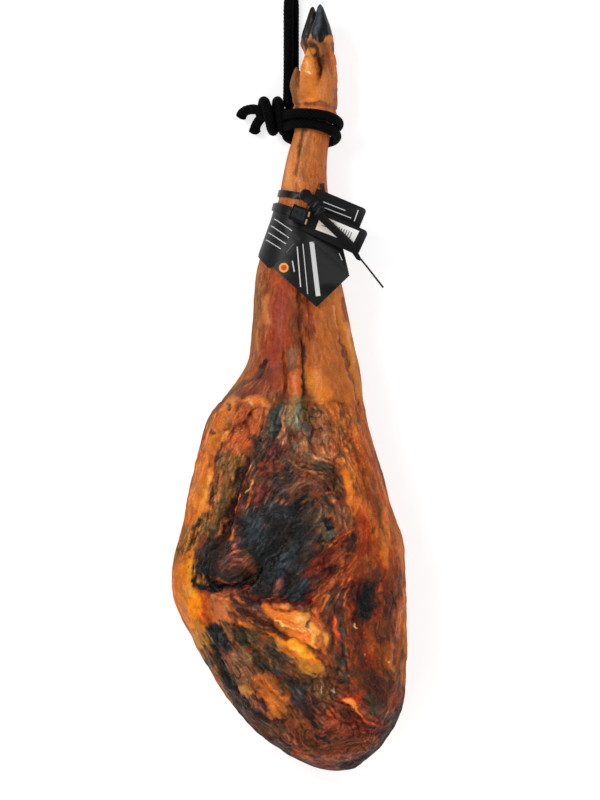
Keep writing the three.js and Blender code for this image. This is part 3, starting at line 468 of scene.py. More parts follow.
    ((50, 33, 33), 8, 0.95, 0.6, [(298, 690), (308, 706)]),
    ((60, 64, 64), 4.6, 0.85, 0.7, [(292, 682), (300, 692)]),
    ((52, 46, 38), 3.6, 0.8, 0.7, [(286, 676), (296, 678)]),
    ((124, 84, 54), 7, 0.8, 0.7, [(312, 680), (330, 690)]),
    ((136, 76, 46), 4, 0.8, 0.9, [(333, 681), (337, 687)]),
    ((36, 22, 22), 3, 0.95, 0.6, [(313, 714), (315, 720)]),
    ((170, 76, 34), 4, 0.8, 0.7, [(332, 708), (336, 716)]),
    # Painted glints: small white highlights on the brown meat.
    ((226, 196, 172), 1.2, 0.7, 1.0, [(333, 687), (334.4, 689)]),
    ((250, 236, 224), 0.6, 0.9, 0.8, [(333.4, 687.6), (333.8, 688.2)]),
    ((216, 190, 170), 0.8, 0.8, 0.6, [(319, 682), (320, 686)]),
    # The flame, the slate streaks and the muscle on the right.
    ((84, 26, 18), 4, 0.9, 0.8, [(332, 614), (335, 630)]),
    ((70, 28, 18), 4.6, 0.85, 0.9, [(355, 618), (355, 640)]),
    ((206, 80, 26), 2.0, 0.85, 0.9, [(334, 616), (337, 630), (339, 642)]),
    ((54, 50, 42), 3, 0.9, 0.6, [(342, 618), (342, 640), (344, 652), (339, 666)]),
    ((58, 58, 50), 4, 0.85, 0.6, [(343, 670), (345, 682)]),
    ((108, 50, 24), 5, 0.8, 0.8, [(347, 600), (350, 640), (354, 676)]),
    ((150, 70, 30), 1.0, 0.8, 0.8, [(350, 575), (346, 590), (344, 604)]),
    ((120, 62, 28), 2.2, 0.8, 0.9, [(349, 656), (352, 672), (358, 686)]),
    ((134, 66, 28), 4.4, 0.85, 0.9, [(364, 622), (368, 634), (370, 642)]),
    ((78, 34, 24), 6, 0.85, 0.8, [(360, 640), (364, 660), (374, 682)]),
    ((160, 56, 20), 2.8, 0.85, 0.9, [(352, 604), (352, 613)]),
    ((58, 26, 20), 12, 0.85, 0.9, [(366, 584), (364, 606)]),
    ((22, 21, 22), 7.4, 1.0, 0.9, [(368, 588), (362, 600), (364, 606)]),
    ((30, 24, 25), 4.0, 0.95, 0.9, [(360, 606), (357, 616)]),
    ((82, 34, 22), 4, 0.85, 0.6, [(356, 618), (358, 628)]),
    ((84, 44, 28), 5, 0.85, 0.7, [(378, 568), (380, 578)]),
    ((62, 32, 24), 4.6, 0.85, 0.9, [(386, 580), (386, 596)]),
    ((190, 80, 30), 1.4, 0.85, 0.9, [(380, 581), (380, 588)]),
    ((106, 60, 36), 6, 0.8, 0.7, [(392, 572), (394, 592)]),
    ((66, 38, 32), 7.4, 0.95, 0.7, [(386, 600), (386, 618), (384, 634)]),
    ((100, 58, 36), 3, 0.8, 0.7, [(384, 618), (386, 630)]),
    ((146, 74, 30), 3.6, 0.85, 0.9, [(398, 598), (398, 612)]),
    ((146, 80, 34), 8, 0.85, 0.9, [(390, 646), (394, 664)]),
    ((186, 112, 54), 2.6, 0.7, 0.9, [(388, 658), (392, 668)]),
    # Painted glints: small pale highlights on the muscle and skin.
    ((240, 216, 190), 0.7, 0.9, 0.7, [(388.2, 657.6), (388.8, 658.2)]),
    ((244, 206, 150), 0.8, 0.9, 0.7, [(353.6, 621.6), (354.4, 623.6)]),
    ((220, 176, 140), 0.6, 0.8, 0.7, [(365.4, 649), (365.6, 652)]),
    ((200, 116, 46), 2.8, 0.8, 0.9, [(404, 588), (405, 630), (404, 682)]),
    # Painted highlight: a thin pale line along the right edge.
    ((186, 124, 82), 0.8, 0.4, 1.0, [(404, 592), (402, 610), (400, 634)]),
    ((70, 38, 30), 2.8, 0.9, 0.7, [(357, 640), (364, 656), (374, 678), (384, 698)]),
    ((74, 38, 24), 1.4, 0.85, 0.8, [(380, 660), (388, 678), (400, 694)]),
    ((128, 62, 28), 1.8, 0.85, 0.8, [(378, 652), (388, 668), (397, 684)]),
    ((66, 36, 28), 5.4, 0.85, 0.9, [(382, 674), (387, 690)]),
    ((40, 24, 22), 5.6, 0.85, 0.9, [(380, 729), (388, 714)]),
    ((70, 40, 34), 9, 0.9, 0.6, [(374, 700), (384, 712)]),
    ((60, 58, 42), 4.6, 0.8, 0.7, [(370, 694), (373, 708)]),
    ((104, 52, 28), 7, 0.7, 0.8, [(394, 690), (396, 704)]),
    # The hooked bright streak and the butt.
    ((150, 40, 16), 3.8, 0.85, 1.0, [(342, 698), (348, 692), (356, 696)]),
    ((88, 24, 14), 8, 0.9, 1.0, [(350, 712), (364, 724), (380, 728)]),
    ((214, 86, 30), 2.8, 0.9, 0.9, [(345, 697), (350, 696), (354, 700)]),
    ((255, 160, 74), 2.2, 0.95, 0.8, [(344.5, 697.5), (349, 697), (353, 700)]),
    ((240, 124, 48), 1.0, 1.0, 0.8, [(353, 700), (357.5, 706), (362, 712)]),
    ((196, 76, 34), 0.8, 0.95, 0.8, [(362, 713), (368, 719), (376, 724.5)]),
    ((76, 36, 28), 4, 0.85, 0.9, [(364, 700), (368, 708)]),
    ((120, 58, 40), 9, 0.8, 0.8, [(334, 722), (350, 730)]),
    ((172, 86, 56), 4.6, 0.85, 0.9, [(331, 740), (336, 748)]),
    ((34, 35, 31), 2.8, 0.95, 0.6, [(316, 733), (330, 738)]),
    ((160, 70, 30), 3.2, 0.95, 0.8, [(294, 749), (304, 753), (310, 757)]),
    ((40, 37, 32), 4.4, 0.9, 0.6, [(342, 763), (350, 764)]),
    ((40, 29, 22), 4.2, 0.9, 0.8, [(402, 706), (394, 726), (380, 744), (360, 759), (346, 768)]),
    ((88, 46, 28), 5, 0.7, 0.8, [(272, 744), (300, 760), (330, 770)]),
]

# Relief on top of the frame's own: height in mm, half width, line.
CUTS = [
    (-1.0, 1.8, [(247, 412), (241, 425), (232, 437), (223, 447), (218, 462), (213, 486), (211, 506)]),
    (-4.2, 4.0, [(246, 462), (237, 482), (233, 497), (230, 518), (224, 534), (214, 544)]),
    (1.6, 3.0, [(254, 470), (246, 490), (240, 512), (236, 532)]),
    (-2.6, 3.2, [(208, 577), (220, 586), (236, 586), (252, 578), (258, 566)]),
    (1.0, 1.6, [(217, 577), (230, 581), (247, 577)]),
    (-2.2, 2.0, [(200, 519), (194, 528), (187, 546)]),
    (1.4, 1.6, [(354, 525), (342, 535), (330, 544)]),
    (-2.0, 3.0, [(346, 542), (330, 556), (316, 566)]),
    (2.0, 1.8, [(342, 560), (329, 572), (318, 583), (310, 597)]),
    (-2.4, 3.0, [(262, 598), (278, 597), (293, 602), (311, 601)]),
    (-2.0, 2.4, [(240, 606), (256, 611), (268, 620), (280, 629), (296, 636), (306, 641), (318, 648)]),
    (1.8, 4.0, [(240, 620), (264, 631), (279, 642), (294, 652), (308, 661)]),
    (-2.8, 4.2, [(232, 624), (246, 642), (262, 659), (272, 672), (288, 688)]),
    (-1.8, 4.0, [(214, 646), (219, 660), (226, 676), (233, 690)]),
    (1.6, 2.6, [(254, 689), (262, 694), (266, 704)]),
    (-1.8, 3.4, [(268, 716), (288, 716), (300, 700)]),
    (1.4, 3.0, [(288, 706), (304, 722), (310, 740)]),
    (1.5, 2.0, [(343.5, 697), (349, 698), (356, 706), (364, 716), (378, 725)]),
    (-2.4, 4.0, [(346, 710), (362, 726), (380, 732)]),
    (-1.6, 3.0, [(342, 618), (342, 640), (344, 652), (339, 668)]),
    (1.4, 3.0, [(350, 600), (350, 640), (356, 676)]),
    (-1.3, 2.4, [(361, 648), (374, 668), (386, 690), (394, 700)]),
    (-1.0, 2.4, [(405, 590), (402, 612), (399, 640), (402, 668)]),
    (-1.8, 2.2, [(334.5, 456), (334.5, 490)]),
    (1.0, 1.4, [(292, 459), (302, 465), (311, 470), (322, 473), (331, 467)]),
    (1.4, 1.4, [(287, 408), (282, 428), (276, 446)]),
    (-2.0, 4.5, [(281, 412), (275, 432)]),
    (1.5, 3.2, [(345, 466), (350, 484), (356, 502), (362, 516)]),
    (-1.5, 1.6, [(352, 440), (362, 470), (368, 500), (372, 530)]),
    (-2.0, 3.6, [(301.5, 286), (301.5, 320), (303, 335)]),
    (-3.0, 2.6, [(303.6, 341), (304, 350), (303.5, 372), (304.5, 398)]),
    (-1.8, 1.8, [(284, 350), (284, 374), (285, 398)]),
    (1.2, 1.4, [(331, 306), (335.5, 327), (339, 342)]),
    (-1.5, 1.6, [(334, 312), (340, 334), (347, 358), (355, 386), (359, 420)]),
    (-1.6, 1.4, [(246, 403), (262, 399), (285, 403), (305, 403), (330, 404), (345, 405)]),
    (-1.4, 2.0, [(222, 402), (232, 393), (252, 380), (263, 369)]),
    (-1.8, 2.6, [(301.5, 134), (298, 151), (296, 172)]),
    (-1.2, 2.4, [(268, 276), (267, 300), (264, 330)]),
]
# Round ones: across, down, half width, height in mm.
PITS = [(327.7, 521, 5.2, -5.0), (265, 364, 2.4, -1.6), (261, 376, 2.0, -1.2), (200, 520, 2.2, -1.0)]


def to_places(line):
    return [place(*spot) for spot in line]


def ridge(x, y, line, half):
    """1 on a line, and fading away from it over its half width."""
    return np.exp(-((line_distance(x, y, to_places(line)) / (half * UNIT)) ** 2))


def along(points, rows):
    """Rows of (at, value, ...) read at each point by straight steps."""
    table = np.asarray(rows, float)
    return [np.interp(points, table[:, 0], table[:, k]) for k in range(1, table.shape[1])]


# The leg is cut off from its foot under the rope, where nothing shows: a fine skin of rings for the one,
# a remeshed copy for the other.
CUT_AT = 0.2715
CENTRES = [  # y, x and z of the middle of the leg, in metres
    (-0.404, 0.050, 0.044), (-0.35, 0.034, 0.046), (-0.2, 0.0, 0.05), (-0.06, 0.003, 0.047),
    (0.02, 0.013, 0.043), (0.1, 0.011, 0.042), (0.2, 0.016, 0.037), (0.28, 0.0252, 0.033),
]
FRONT_COLUMNS = 320
BACK_COLUMNS = 70
RING_STEP = 0.00088
SHANK_STEP = 0.0013
SOFTENINGS = 60
SKIN_CUT = -0.0155  # where the trimmed skin ends: the leg's pieces part here and under the thigh
LOW_CUT = -0.205
BUTT_END = -0.4037
BUTT_MIDDLE = (0.050, BUTT_END, 0.044)
RAYS = 361  # round each ring
FLOOR_GAP = 0.0002  # the skin stays this far above the ground
FOOT_OVERLAP = 0.004


def tree_of(node):
    """What rays are cast at: a node of the frame."""
    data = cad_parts[node].data
    corners = [v.co.copy() for v in data.vertices]
    return BVHTree.FromPolygons(corners, [list(p.vertices) for p in data.polygons])


def ring_stations():
    nose = BUTT_END + 0.0037 * np.linspace(0.05, 1.0, 9) ** 1.7
    low = np.arange(nose[-1] + 0.0008, LOW_CUT, RING_STEP)
    high = np.arange(LOW_CUT, SKIN_CUT, RING_STEP)
    shank = np.arange(SKIN_CUT, CUT_AT, SHANK_STEP)
    return np.concatenate([nose, low, high, shank])


def leg_grid():
    """Places on the frame's leg as rings x columns, evenly spread over the meat side and over the rind."""
    tree = tree_of("ham")
    stations = ring_stations()
    xs, zs = along(stations, CENTRES)
    angles = np.linspace(0, 2 * math.pi, RAYS)
    grid = np.zeros((len(stations), FRONT_COLUMNS + BACK_COLUMNS, 3))
    last = None
    for r, (y, cx, cz) in enumerate(zip(stations, xs, zs)):
        ring = []
        start = Vector((cx, y, cz))
        for a in angles:
            way = Vector((-math.cos(a), 0, math.sin(a)))
            hit = tree.ray_cast(start, way, 0.3)[0]
            ring.append((hit.x, hit.z) if hit else (last[len(ring)] if last else (cx, cz)))
        last = ring
        pts = np.asarray(ring)
        left = int(np.argmin(pts[:, 0]))
        pts = np.roll(pts[:-1], -left, axis=0)
        right = int(np.argmax(pts[:, 0]))
        pts = np.vstack([pts, pts[:1]])
        front = (pts[: right + 1], FRONT_COLUMNS, 0)
        back = (pts[right:], BACK_COLUMNS, FRONT_COLUMNS)
        for part, count, offset in (front, back):
            steps = np.hypot(*np.diff(part, axis=0).T)
            reach = np.concatenate([[0], np.cumsum(steps)])
            want = reach[-1] * np.arange(count) / count
            grid[r, offset : offset + count, 0] = np.interp(want, reach, part[:, 0])
            grid[r, offset : offset + count, 2] = np.interp(want, reach, part[:, 1])
        grid[r, :, 1] = y
    return grid


def soften(grid, times):
    """Rings and columns drawn towards their neighbours, which takes the frame's facets out."""
    for _ in range(times):
        across = (np.roll(grid, 1, axis=1) + np.roll(grid, -1, axis=1)) / 2
        down = grid.copy()
        down[1:-1] = (grid[:-2] + grid[2:]) / 2
        mixed = 0.5 * grid + 0.25 * across + 0.25 * down
        mixed[..., 1] = grid[..., 1]
        grid = mixed
    return grid


def grid_normals(grid):
    """Outward normals: the one in the middle of the meat side has to point up."""
    across = np.roll(grid, -1, axis=1) - np.roll(grid, 1, axis=1)
    down = np.gradient(grid, axis=0)
    normal = np.cross(down, across)
    if normal[len(grid) // 2, FRONT_COLUMNS // 2, 2] < 0:
        normal = -normal
    return normal / np.maximum(np.linalg.norm(normal, axis=2, keepdims=True), 1e-9)


def warped(points, amount=1.0):
    """Points shifted unevenly, so that painted edges wander as they do on meat."""
    shift = np.stack([layers(points, 0.016, 3, seed) for seed in (3, 5)], axis=1)
    fine = np.stack([layers(points, 0.0045, 2, seed) for seed in (7, 9)], axis=1)
    return points[:, :2] + amount * (0.0030 * shift + 0.0011 * fine)


# Where the leg changes: the cut face and its lower part going down, and the taut skin going across.
MEAT_FROM = 400
LOW_MEAT_FROM = 610
BUTT_FROM = 690
SKIN_FROM = 345
FAT_LIGHTNESS = 0.16  # strokes on the meat that are lighter than this have a deep orange rim
FAT_RIM = np.array([0.62, 0.36, 0.22])
BRUSH_REACH = 1.6  # how far a stroke can show, in its half widths


def close_to(x, y, spots, reach):
    """Which points lie in the box round some spots, widened by a reach."""
    box = np.asarray(spots)
    inside = (x > box[:, 0].min() - reach) & (x < box[:, 0].max() + reach)
    inside &= (y > box[:, 1].min() - reach) & (y < box[:, 1].max() + reach)
    return np.nonzero(inside)[0]


def paint(points, facing, marks):
    """Colour for each point of the leg: the strokes where facing is 1, the plain rind where it is 0."""
    x, y = warped(points).T
    colour = np.tile(linear(RIND), (len(points), 1))
    streaks = layers(points * np.array([1.0, 0.22, 1.0]), 0.007, 3, 31)
    blotches = layers(points, 0.03, 3, 37)
    colour *= (1 + 0.22 * blotches + 0.10 * streaks)[:, None]
    rind = colour.copy()
    ragged = 0.16 * layers(points, 0.0080, 2, 21) + 0.10 * marks["fibre"] + 0.05 * marks["thread"]
    for strokes in (BROAD, FINE):
        for hue, half, opacity, softness, line in strokes:
            spots = to_places(line)
            far = half * UNIT
            light = linear(hue)
            fatty = half >= 3 and light.mean() > FAT_LIGHTNESS and line[0][1] > MEAT_FROM + 4
            near = close_to(x, y, spots, far * BRUSH_REACH)
            if not len(near):
                continue
            faced = opacity * facing[near]
            gap = line_distance(x[near], y[near], spots) / far
            gap += ragged[near] * min(1.0, half / 7.0 + 0.35)
            share = faced * smooth((1.1 + softness * 0.7 - gap) / (softness * 1.7))
            if fatty:
                rim = faced * 0.8 * smooth((1.42 + softness * 0.5 - gap) / (softness * 1.4))
                colour[near] += (light * FAT_RIM - colour[near]) * rim[:, None]
            colour[near] += (light - colour[near]) * share[:, None]
    return rind * (1 - facing)[:, None] + colour * facing[:, None]


def speckle(points, size, amount, seed):
    """Spots of a size, over about the amount of the surface."""
    return smooth((noise(points, size, seed) - (1 - amount)) / 0.25)


# Which way fibres and wrinkles run: across, down and the bearing in degrees.
# 0 is to the right and 90 to the hoof.
BEARINGS = [
    (314, 25, 100), (308, 85, 92), (330, 90, 95), (306, 160, 86), (320, 190, 92), (262, 300, 88),
    (300, 330, 90), (338, 330, 105), (240, 392, 50), (290, 392, 92), (350, 400, 105), (212, 440, 68),
    (196, 505, 74), (186, 570, 88), (240, 430, 60), (226, 490, 76), (242, 490, 74), (236, 530, 66),
    (280, 430, 74), (300, 430, 92), (325, 430, 100), (262, 470, 60), (292, 475, 35), (320, 470, 160),
    (345, 480, 112), (370, 470, 114), (384, 520, 104), (362, 530, 96), (262, 530, 50), (292, 545, 48),
    (275, 575, 52), (305, 585, 50), (332, 550, 42), (328, 585, 48), (398, 580, 92), (214, 560, 60),
    (236, 586, 6), (252, 572, 48), (232, 560, 20), (192, 600, 100), (218, 606, 120), (206, 640, 116),
    (250, 604, 165), (290, 620, 150), (312, 632, 140), (262, 634, 148), (300, 654, 147), (248, 652, 130),
    (282, 680, 130), (222, 670, 115), (268, 696, 118), (246, 704, 128), (300, 730, 116), (318, 690, 120),
    (350, 640, 92), (334, 622, 100), (372, 668, 122), (366, 600, 96), (386, 622, 92), (398, 655, 88),
    (392, 712, 64), (352, 700, 140), (366, 722, 148), (334, 740, 24), (348, 764, 12), (300, 754, 160),
    (268, 738, 132),
]


def fibre_way(points):
    """A sideways unit vector at each point that follows the nearest bearings."""
    across, down = seen(points)
    c, s = np.zeros(len(points)), np.zeros(len(points))
    for x, y, bearing in BEARINGS:
        share = 1.0 / ((across - x) ** 2 + (down - y) ** 2 + 60.0) ** 2
        c += share * math.cos(math.radians(2 * bearing))
        s += share * math.sin(math.radians(2 * bearing))
    half = np.arctan2(s, c) / 2
    return np.stack([np.cos(half), np.sin(half), np.zeros(len(points))], axis=1)


def combed(points, way, size, reach, seed, taps=7):
    """Noise drawn out along the fibres, with a spread of about 1."""
    total = np.zeros(len(points))
    for t in np.linspace(-reach, reach, taps):
        total += noise(points + t * way, size, seed)
    return total / (total.std() + 1e-9)


def surface_marks(points, normals):
    """The wrinkles, fibres and crests that colour, relief and gloss all follow."""
    way = fibre_way(points)
    bent = points + 0.0032 * np.stack([layers(points, 0.014, 2, seed) for seed in (201, 203, 205)], axis=1)
    wide = combed(bent, way, 0.0085, 0.011, 211)
    narrow = combed(bent, way, 0.0046, 0.0060, 213)
    hairs = combed(bent, way, 0.0034, 0.0040, 227)
    return {
        "level": smooth((normals[:, 2] - 0.25) / 0.4),
        "crease": np.exp(-((wide / 0.14) ** 2)) * smooth((noise(points, 0.021, 215) + 0.25) / 0.6),
        "wrinkle": np.exp(-((narrow / 0.18) ** 2)) * smooth((noise(points, 0.016, 217) + 0.25) / 0.6),
        "crest": smooth((np.abs(narrow) - 1.1) / 0.9),
        "fibre": combed(bent, way, 0.0024, 0.0056, 219),
        "thread": combed(points, way, 0.0013, 0.0030, 221, 5),
        "roll": combed(points, way, 0.017, 0.020, 223),
        "streak": combed(points, way, 0.0050, 0.0220, 225, 11),
        "hair": np.exp(-((hairs / 0.2) ** 2)) * smooth(noise(points, 0.013, 229) / 0.5),
    }


DEPTH_OF_TONE = 0.96  # the studio light is brighter than white paper needs
HAZE = linear((15, 16, 17))  # what the studio adds to every dark tone
WARMING = np.array([0.05, -0.16, -0.26])  # how red, green and blue follow the warmth


def fat_share(colour, facing):
    """How much of each point is smooth fat or taut skin, from how light it is painted."""
    return smooth((colour.mean(axis=1) - 0.15) / 0.12) * facing


def blend(colour, hue, share):
    """Draws each colour towards a hue by its share."""
    colour += (linear(hue) - colour) * share[:, None]


def zones_of(points, colour, facing):
    """How much of each point is meat, lower meat, taut skin and fat."""
    across, down = seen(points)
    meat = smooth((down - MEAT_FROM) / 12) * facing
    low = smooth((down - LOW_MEAT_FROM) / 30) * facing
    skin = smooth((across - SKIN_FROM) / 14) * smooth((down - 300) / 30)
    skin *= (1 - smooth((down - BUTT_FROM) / 30)) * facing
    return meat, low, skin, fat_share(colour, facing)


def calm_of(zones):
    """Where the fine marks are faint: all of the fat, and most of the skin."""
    _, _, skin, fat = zones
    return np.maximum(fat, 0.7 * skin)


def stain(colour, points, lum, zones, marks):
    """Mould and rust on the meat, brown and golden streaks on the skin."""
    meat, low, skin, _ = zones
    across, down = seen(points)
    upper_mould = smooth((layers(points, 0.014, 3, 61) - 0.55) / 0.3) * meat
    upper_mould *= 1 - smooth((across - SKIN_FROM + 5) / 10)
    low_mould = smooth((layers(points, 0.011, 3, 63) - 0.35) / 0.3) * low
    mould = np.maximum(0.45 * upper_mould, 0.6 * low_mould) * smooth((0.22 - lum) / 0.1)
    blend(colour, MOULD, mould)
    rust = smooth((layers(points, 0.010, 3, 67) - 0.5) / 0.3) * meat * smooth((0.16 - lum) / 0.1)
    blend(colour, RUST, 0.7 * rust * smooth((lum - 0.025) / 0.03))
    upper = smooth((lum - 0.04) / 0.05) * (1 - 0.8 * smooth((down - 560) / 50)) * skin
    brown = smooth((marks["streak"] + 0.5 * marks["roll"] - 0.6) / 0.9)
    blend(colour, BROWN_STREAK, 0.62 * brown * upper)
    gilt = smooth((0.7 * marks["roll"] - marks["streak"] - 0.8) / 0.8)
    blend(colour, GOLD_STREAK, 0.45 * gilt * upper)


def speck(colour, points, lum, zones, marks, facing):
    """Dark pits, painted wet sheen and pale flecks on the meat, and painted glints all over."""
    meat, _, _, fat = zones
    calm = calm_of(zones)
    meat = meat * marks["level"]
    pits = speckle(points, 0.0026, 0.28, 71) * meat * (0.8 - 0.4 * calm)
    blend(colour, PIT, np.maximum(pits, 0.75 * speckle(points, 0.0017, 0.16, 75) * fat))
    # Painted sheen: blue-grey highlights on the darkest meat.
    painted_sheen_spots = speckle(points, 0.0024, 0.24, 83) * meat * smooth((0.034 - lum) / 0.016)
    blend(colour, PAINTED_WET_SHEEN, 0.5 * painted_sheen_spots)
    flecks = speckle(points, 0.0021, 0.22, 73) * meat * smooth((lum - 0.010) / 0.02) * (1 - fat)
    blend(colour, PALE_FLECK, 0.6 * flecks)
    # Painted glints: small pale highlights spread over the surface.
    painted_glint_spots = speckle(points, 0.0015, 0.10, 77) * smooth((layers(points, 0.018, 2, 79) - 0.1) / 0.3)
    blend(colour, PAINTED_GLINT, 0.8 * painted_glint_spots * facing * marks["level"])


def detail(points, colour, facing, marks):
    """Fibres, creases darkened with painted shade, crests lit with painted highlights, stains and specks
    over the painted colours.
    """
    lum = colour.mean(axis=1)
    zones = zones_of(points, colour, facing)
    meat, _, skin, fat = zones
    calm = calm_of(zones)
    lively = 0.35 + 0.65 * meat
    deep = 0.30 * marks["fibre"] * (1 - 0.88 * calm) + 0.22 * marks["thread"] * (1 - 0.75 * calm)
    deep += 0.17 * layers(points, 0.0052, 2, 43) * fat
    deep += 0.16 * marks["roll"] * (1 - 0.6 * fat) + 0.20 * marks["streak"] * skin
    deep += 0.16 * layers(points, 0.010, 3, 41)
    colour = colour * np.exp(lively * deep)[:, None]
    warmth = layers(points, 0.009, 3, 45) * lively + 0.5 * marks["streak"] * skin
    colour = colour * np.exp(WARMING * warmth[:, None])
    stain(colour, points, lum, zones, marks)
    # Painted shade in the creases and wrinkles, which are also carved in.
    dark = (0.72 * marks["crease"] + 0.45 * marks["wrinkle"]) * (0.25 + 0.75 * meat) * (1 - 0.72 * calm)
    colour *= (1 - np.clip(dark, 0, 0.85))[:, None]
    # Painted highlights on the crests beside the creases.
    raised = meat * marks["level"] * (1 - calm)
    crest_highlight_share = 0.35 * marks["crest"] * smooth((marks["fibre"] - 0.3) / 1.2) * raised
    colour += (0.9 * colour + 0.5 * linear(PAINTED_CREST_HIGHLIGHT)) * crest_highlight_share[:, None]
    hair = 0.26 * marks["hair"] * raised
    colour += (colour + linear(FIBRE_LIGHT)) * hair[:, None]
    speck(colour, points, lum, zones, marks, facing)
    grey = colour.mean(axis=1)[:, None]
    power = 1.0 + 0.14 * np.maximum(fat, skin)[:, None]
    richer = grey * (colour / np.maximum(grey, 1e-4)) ** power
    return np.clip(np.maximum(richer * DEPTH_OF_TONE - HAZE, 0.22 * richer), 0.0, 1.0)


def carve(points, normals, facing, marks, calm):
    """Points moved along their normals by cuts, lumps, wrinkles and grain; calm ones move less."""
    x, y = warped(points, 0.7).T
    move = np.zeros(len(points))
    for height, half, line in CUTS:
        move += height * ridge(x, y, line, half)
    for across, down, half, height in PITS:
        px, py = place(across, down)
        gap = np.hypot(x - px, y - py) / (half * UNIT)
        move += height * np.exp(-(gap**4))
    down = seen(points)[1]
    meat = smooth((down - MEAT_FROM + 2) / 12)
    low = smooth((down - LOW_MEAT_FROM + 10) / 40)
    level = smooth((normals[:, 2] - 0.30) / 0.45)
    lumps = layers(points, 0.020, 3, 81) * (0.5 + 0.9 * meat + 0.5 * low)
    crags = -np.abs(layers(points, 0.011, 3, 83)) * (0.2 + 1.0 * meat + 0.7 * low)
    lines = -1.3 * marks["crease"] - 0.8 * marks["wrinkle"] + 0.45 * marks["crest"] + 0.5 * marks["roll"]
    grain = 0.20 * marks["fibre"] + 0.08 * marks["thread"]
    rough = level * (1 - 0.72 * calm)
    move += facing * (lumps * (1 - 0.3 * calm) + (crags + lines * (0.3 + 0.7 * meat) + grain) * rough)
    move += (1 - facing) * (0.7 * layers(points, 0.035, 3, 91) + 0.25 * layers(points, 0.007, 2, 93))
    return points + normals * (MM * move)[:, None]


def mesh_object(name, corners, faces):
    mesh = bpy.data.meshes.new(name)
    mesh.from_pydata([tuple(c) for c in corners], [], [tuple(f) for f in faces])
    mesh.validate()
    mesh.shade_smooth()
    return new_object(name, mesh)


def set_colour(obj, name, values):
    layer = obj.data.color_attributes.new(name, "FLOAT_COLOR", "POINT")
    flat = np.ones((len(obj.data.vertices), 4), np.float32)
    flat[:, :3] = values
    layer.data.foreach_set("color", flat.ravel())


def set_value(obj, name, values):
    layer = obj.data.attributes.new(name, "FLOAT", "POINT")
    layer.data.foreach_set("value", np.asarray(values, np.float32))


def link(tree, source, target):
    tree.links.new(source, target)


def new_material(name):
    made = bpy.data.materials.new(name)
    made.use_nodes = True
    tree = made.node_tree
    shader = tree.nodes["Principled BSDF"]
    return made, tree, shader


def noise_node(tree, scale, detail_levels, rough):
    coords = tree.nodes.new("ShaderNodeTexCoord")
    texture = tree.nodes.new("ShaderNodeTexNoise")
    texture.inputs["Scale"].default_value = scale
    texture.inputs["Detail"].default_value = detail_levels
    texture.inputs["Roughness"].default_value = rough
    link(tree, coords.outputs["Object"], texture.inputs["Vector"])
    return texture.outputs["Fac"]


def attribute(tree, name):
    """The outputs of a value that the mesh carries."""
    node = tree.nodes.new("ShaderNodeAttribute")
    node.attribute_name = name
    return node.outputs


def maths(tree, operation, *sources):
    """The result of a sum over linked values and plain numbers."""
    node = tree.nodes.new("ShaderNodeMath")
    node.operation = operation
    for socket, source in zip(node.inputs, sources):
        if isinstance(source, float):
            socket.default_value = source
        else:
            link(tree, source, socket)
    return node.outputs[0]


def ramp(tree, source, low, high, out_low, out_high):
    node = tree.nodes.new("ShaderNodeMapRange")
    node.inputs["From Min"].default_value = low
    node.inputs["From Max"].default_value = high
    node.inputs["To Min"].default_value = out_low
    node.inputs["To Max"].default_value = out_high
    link(tree, source, node.inputs["Value"])
    return node.outputs["Result"]


def bump(tree, source, distance, strength, after=None):
    node = tree.nodes.new("ShaderNodeBump")
    node.inputs["Distance"].default_value = distance
    node.inputs["Strength"].default_value = strength
    link(tree, source, node.inputs["Height"])
    if after is not None:
        link(tree, after, node.inputs["Normal"])
    return node.outputs["Normal"]


def meat_material():
    """Cured meat: the mesh carries tint, gloss, grain and grit, and fine noise goes over them."""
    made, tree, shader = new_material("cured_meat")
    sharp = ramp(tree, noise_node(tree, 950.0, 3.0, 0.7), 0.34, 0.66, -1.0, 1.0)
    blurred = ramp(tree, noise_node(tree, 420.0, 4.0, 0.65), 0.3, 0.7, -0.7, 0.7)
    both = maths(tree, "ADD", sharp, blurred)
    scale = tree.nodes.new("ShaderNodeVectorMath")
    scale.operation = "SCALE"
    link(tree, attribute(tree, "tint")["Color"], scale.inputs[0])
    link(tree, maths(tree, "MULTIPLY_ADD", both, attribute(tree, "grit")["Fac"], 1.0), scale.inputs["Scale"])
    link(tree, scale.outputs["Vector"], shader.inputs["Base Color"])
    patchy = ramp(tree, noise_node(tree, 360.0, 4.0, 0.7), 0.35, 0.65, -0.15, 0.13)
    rough = maths(tree, "ADD", attribute(tree, "gloss")["Fac"], patchy)
    rough.node.use_clamp = True
    link(tree, rough, shader.inputs["Roughness"])
    shader.inputs["Specular IOR Level"].default_value = 0.17
    coarse = bump(tree, noise_node(tree, 260.0, 4.0, 0.6), 0.0012, 1.0)
    link(tree, attribute(tree, "grain")["Fac"], coarse.node.inputs["Strength"])
    fine = bump(tree, noise_node(tree, 900.0, 3.0, 0.6), 0.0003, 0.5, coarse)
    link(tree, fine, shader.inputs["Normal"])
    return made


def gloss_of(points, normals, colour, facing):
    """Roughness of each point: fat and black meat shine, the rind and the far slopes are duller."""
    lum = colour @ np.array([0.3, 0.6, 0.1])
    rough = 0.40 + 0.10 * layers(points, 0.012, 2, 97)
    rough -= 0.12 * smooth((lum - 0.22) / 0.15) * facing
    rough -= 0.08 * smooth((0.03 - lum) / 0.02) * facing
    rough += 0.45 * smooth((0.66 - normals[:, 2]) / 0.5)
    return np.clip(rough + 0.08 * (1 - facing), 0.22, 0.95)


meat = meat_material()


def tube_faces(rings, columns):
    """The faces between rings of corners, each ring closed round."""
    faces = []
    for r in range(rings - 1):
        for c in range(columns):
            d = (c + 1) % columns
            faces.append((r * columns + c, r * columns + d, (r + 1) * columns + d, (r + 1) * columns + c))
    return faces


CAP_VALUES = {"gloss": 0.5, "grain": 0.1, "grit": 0.2}


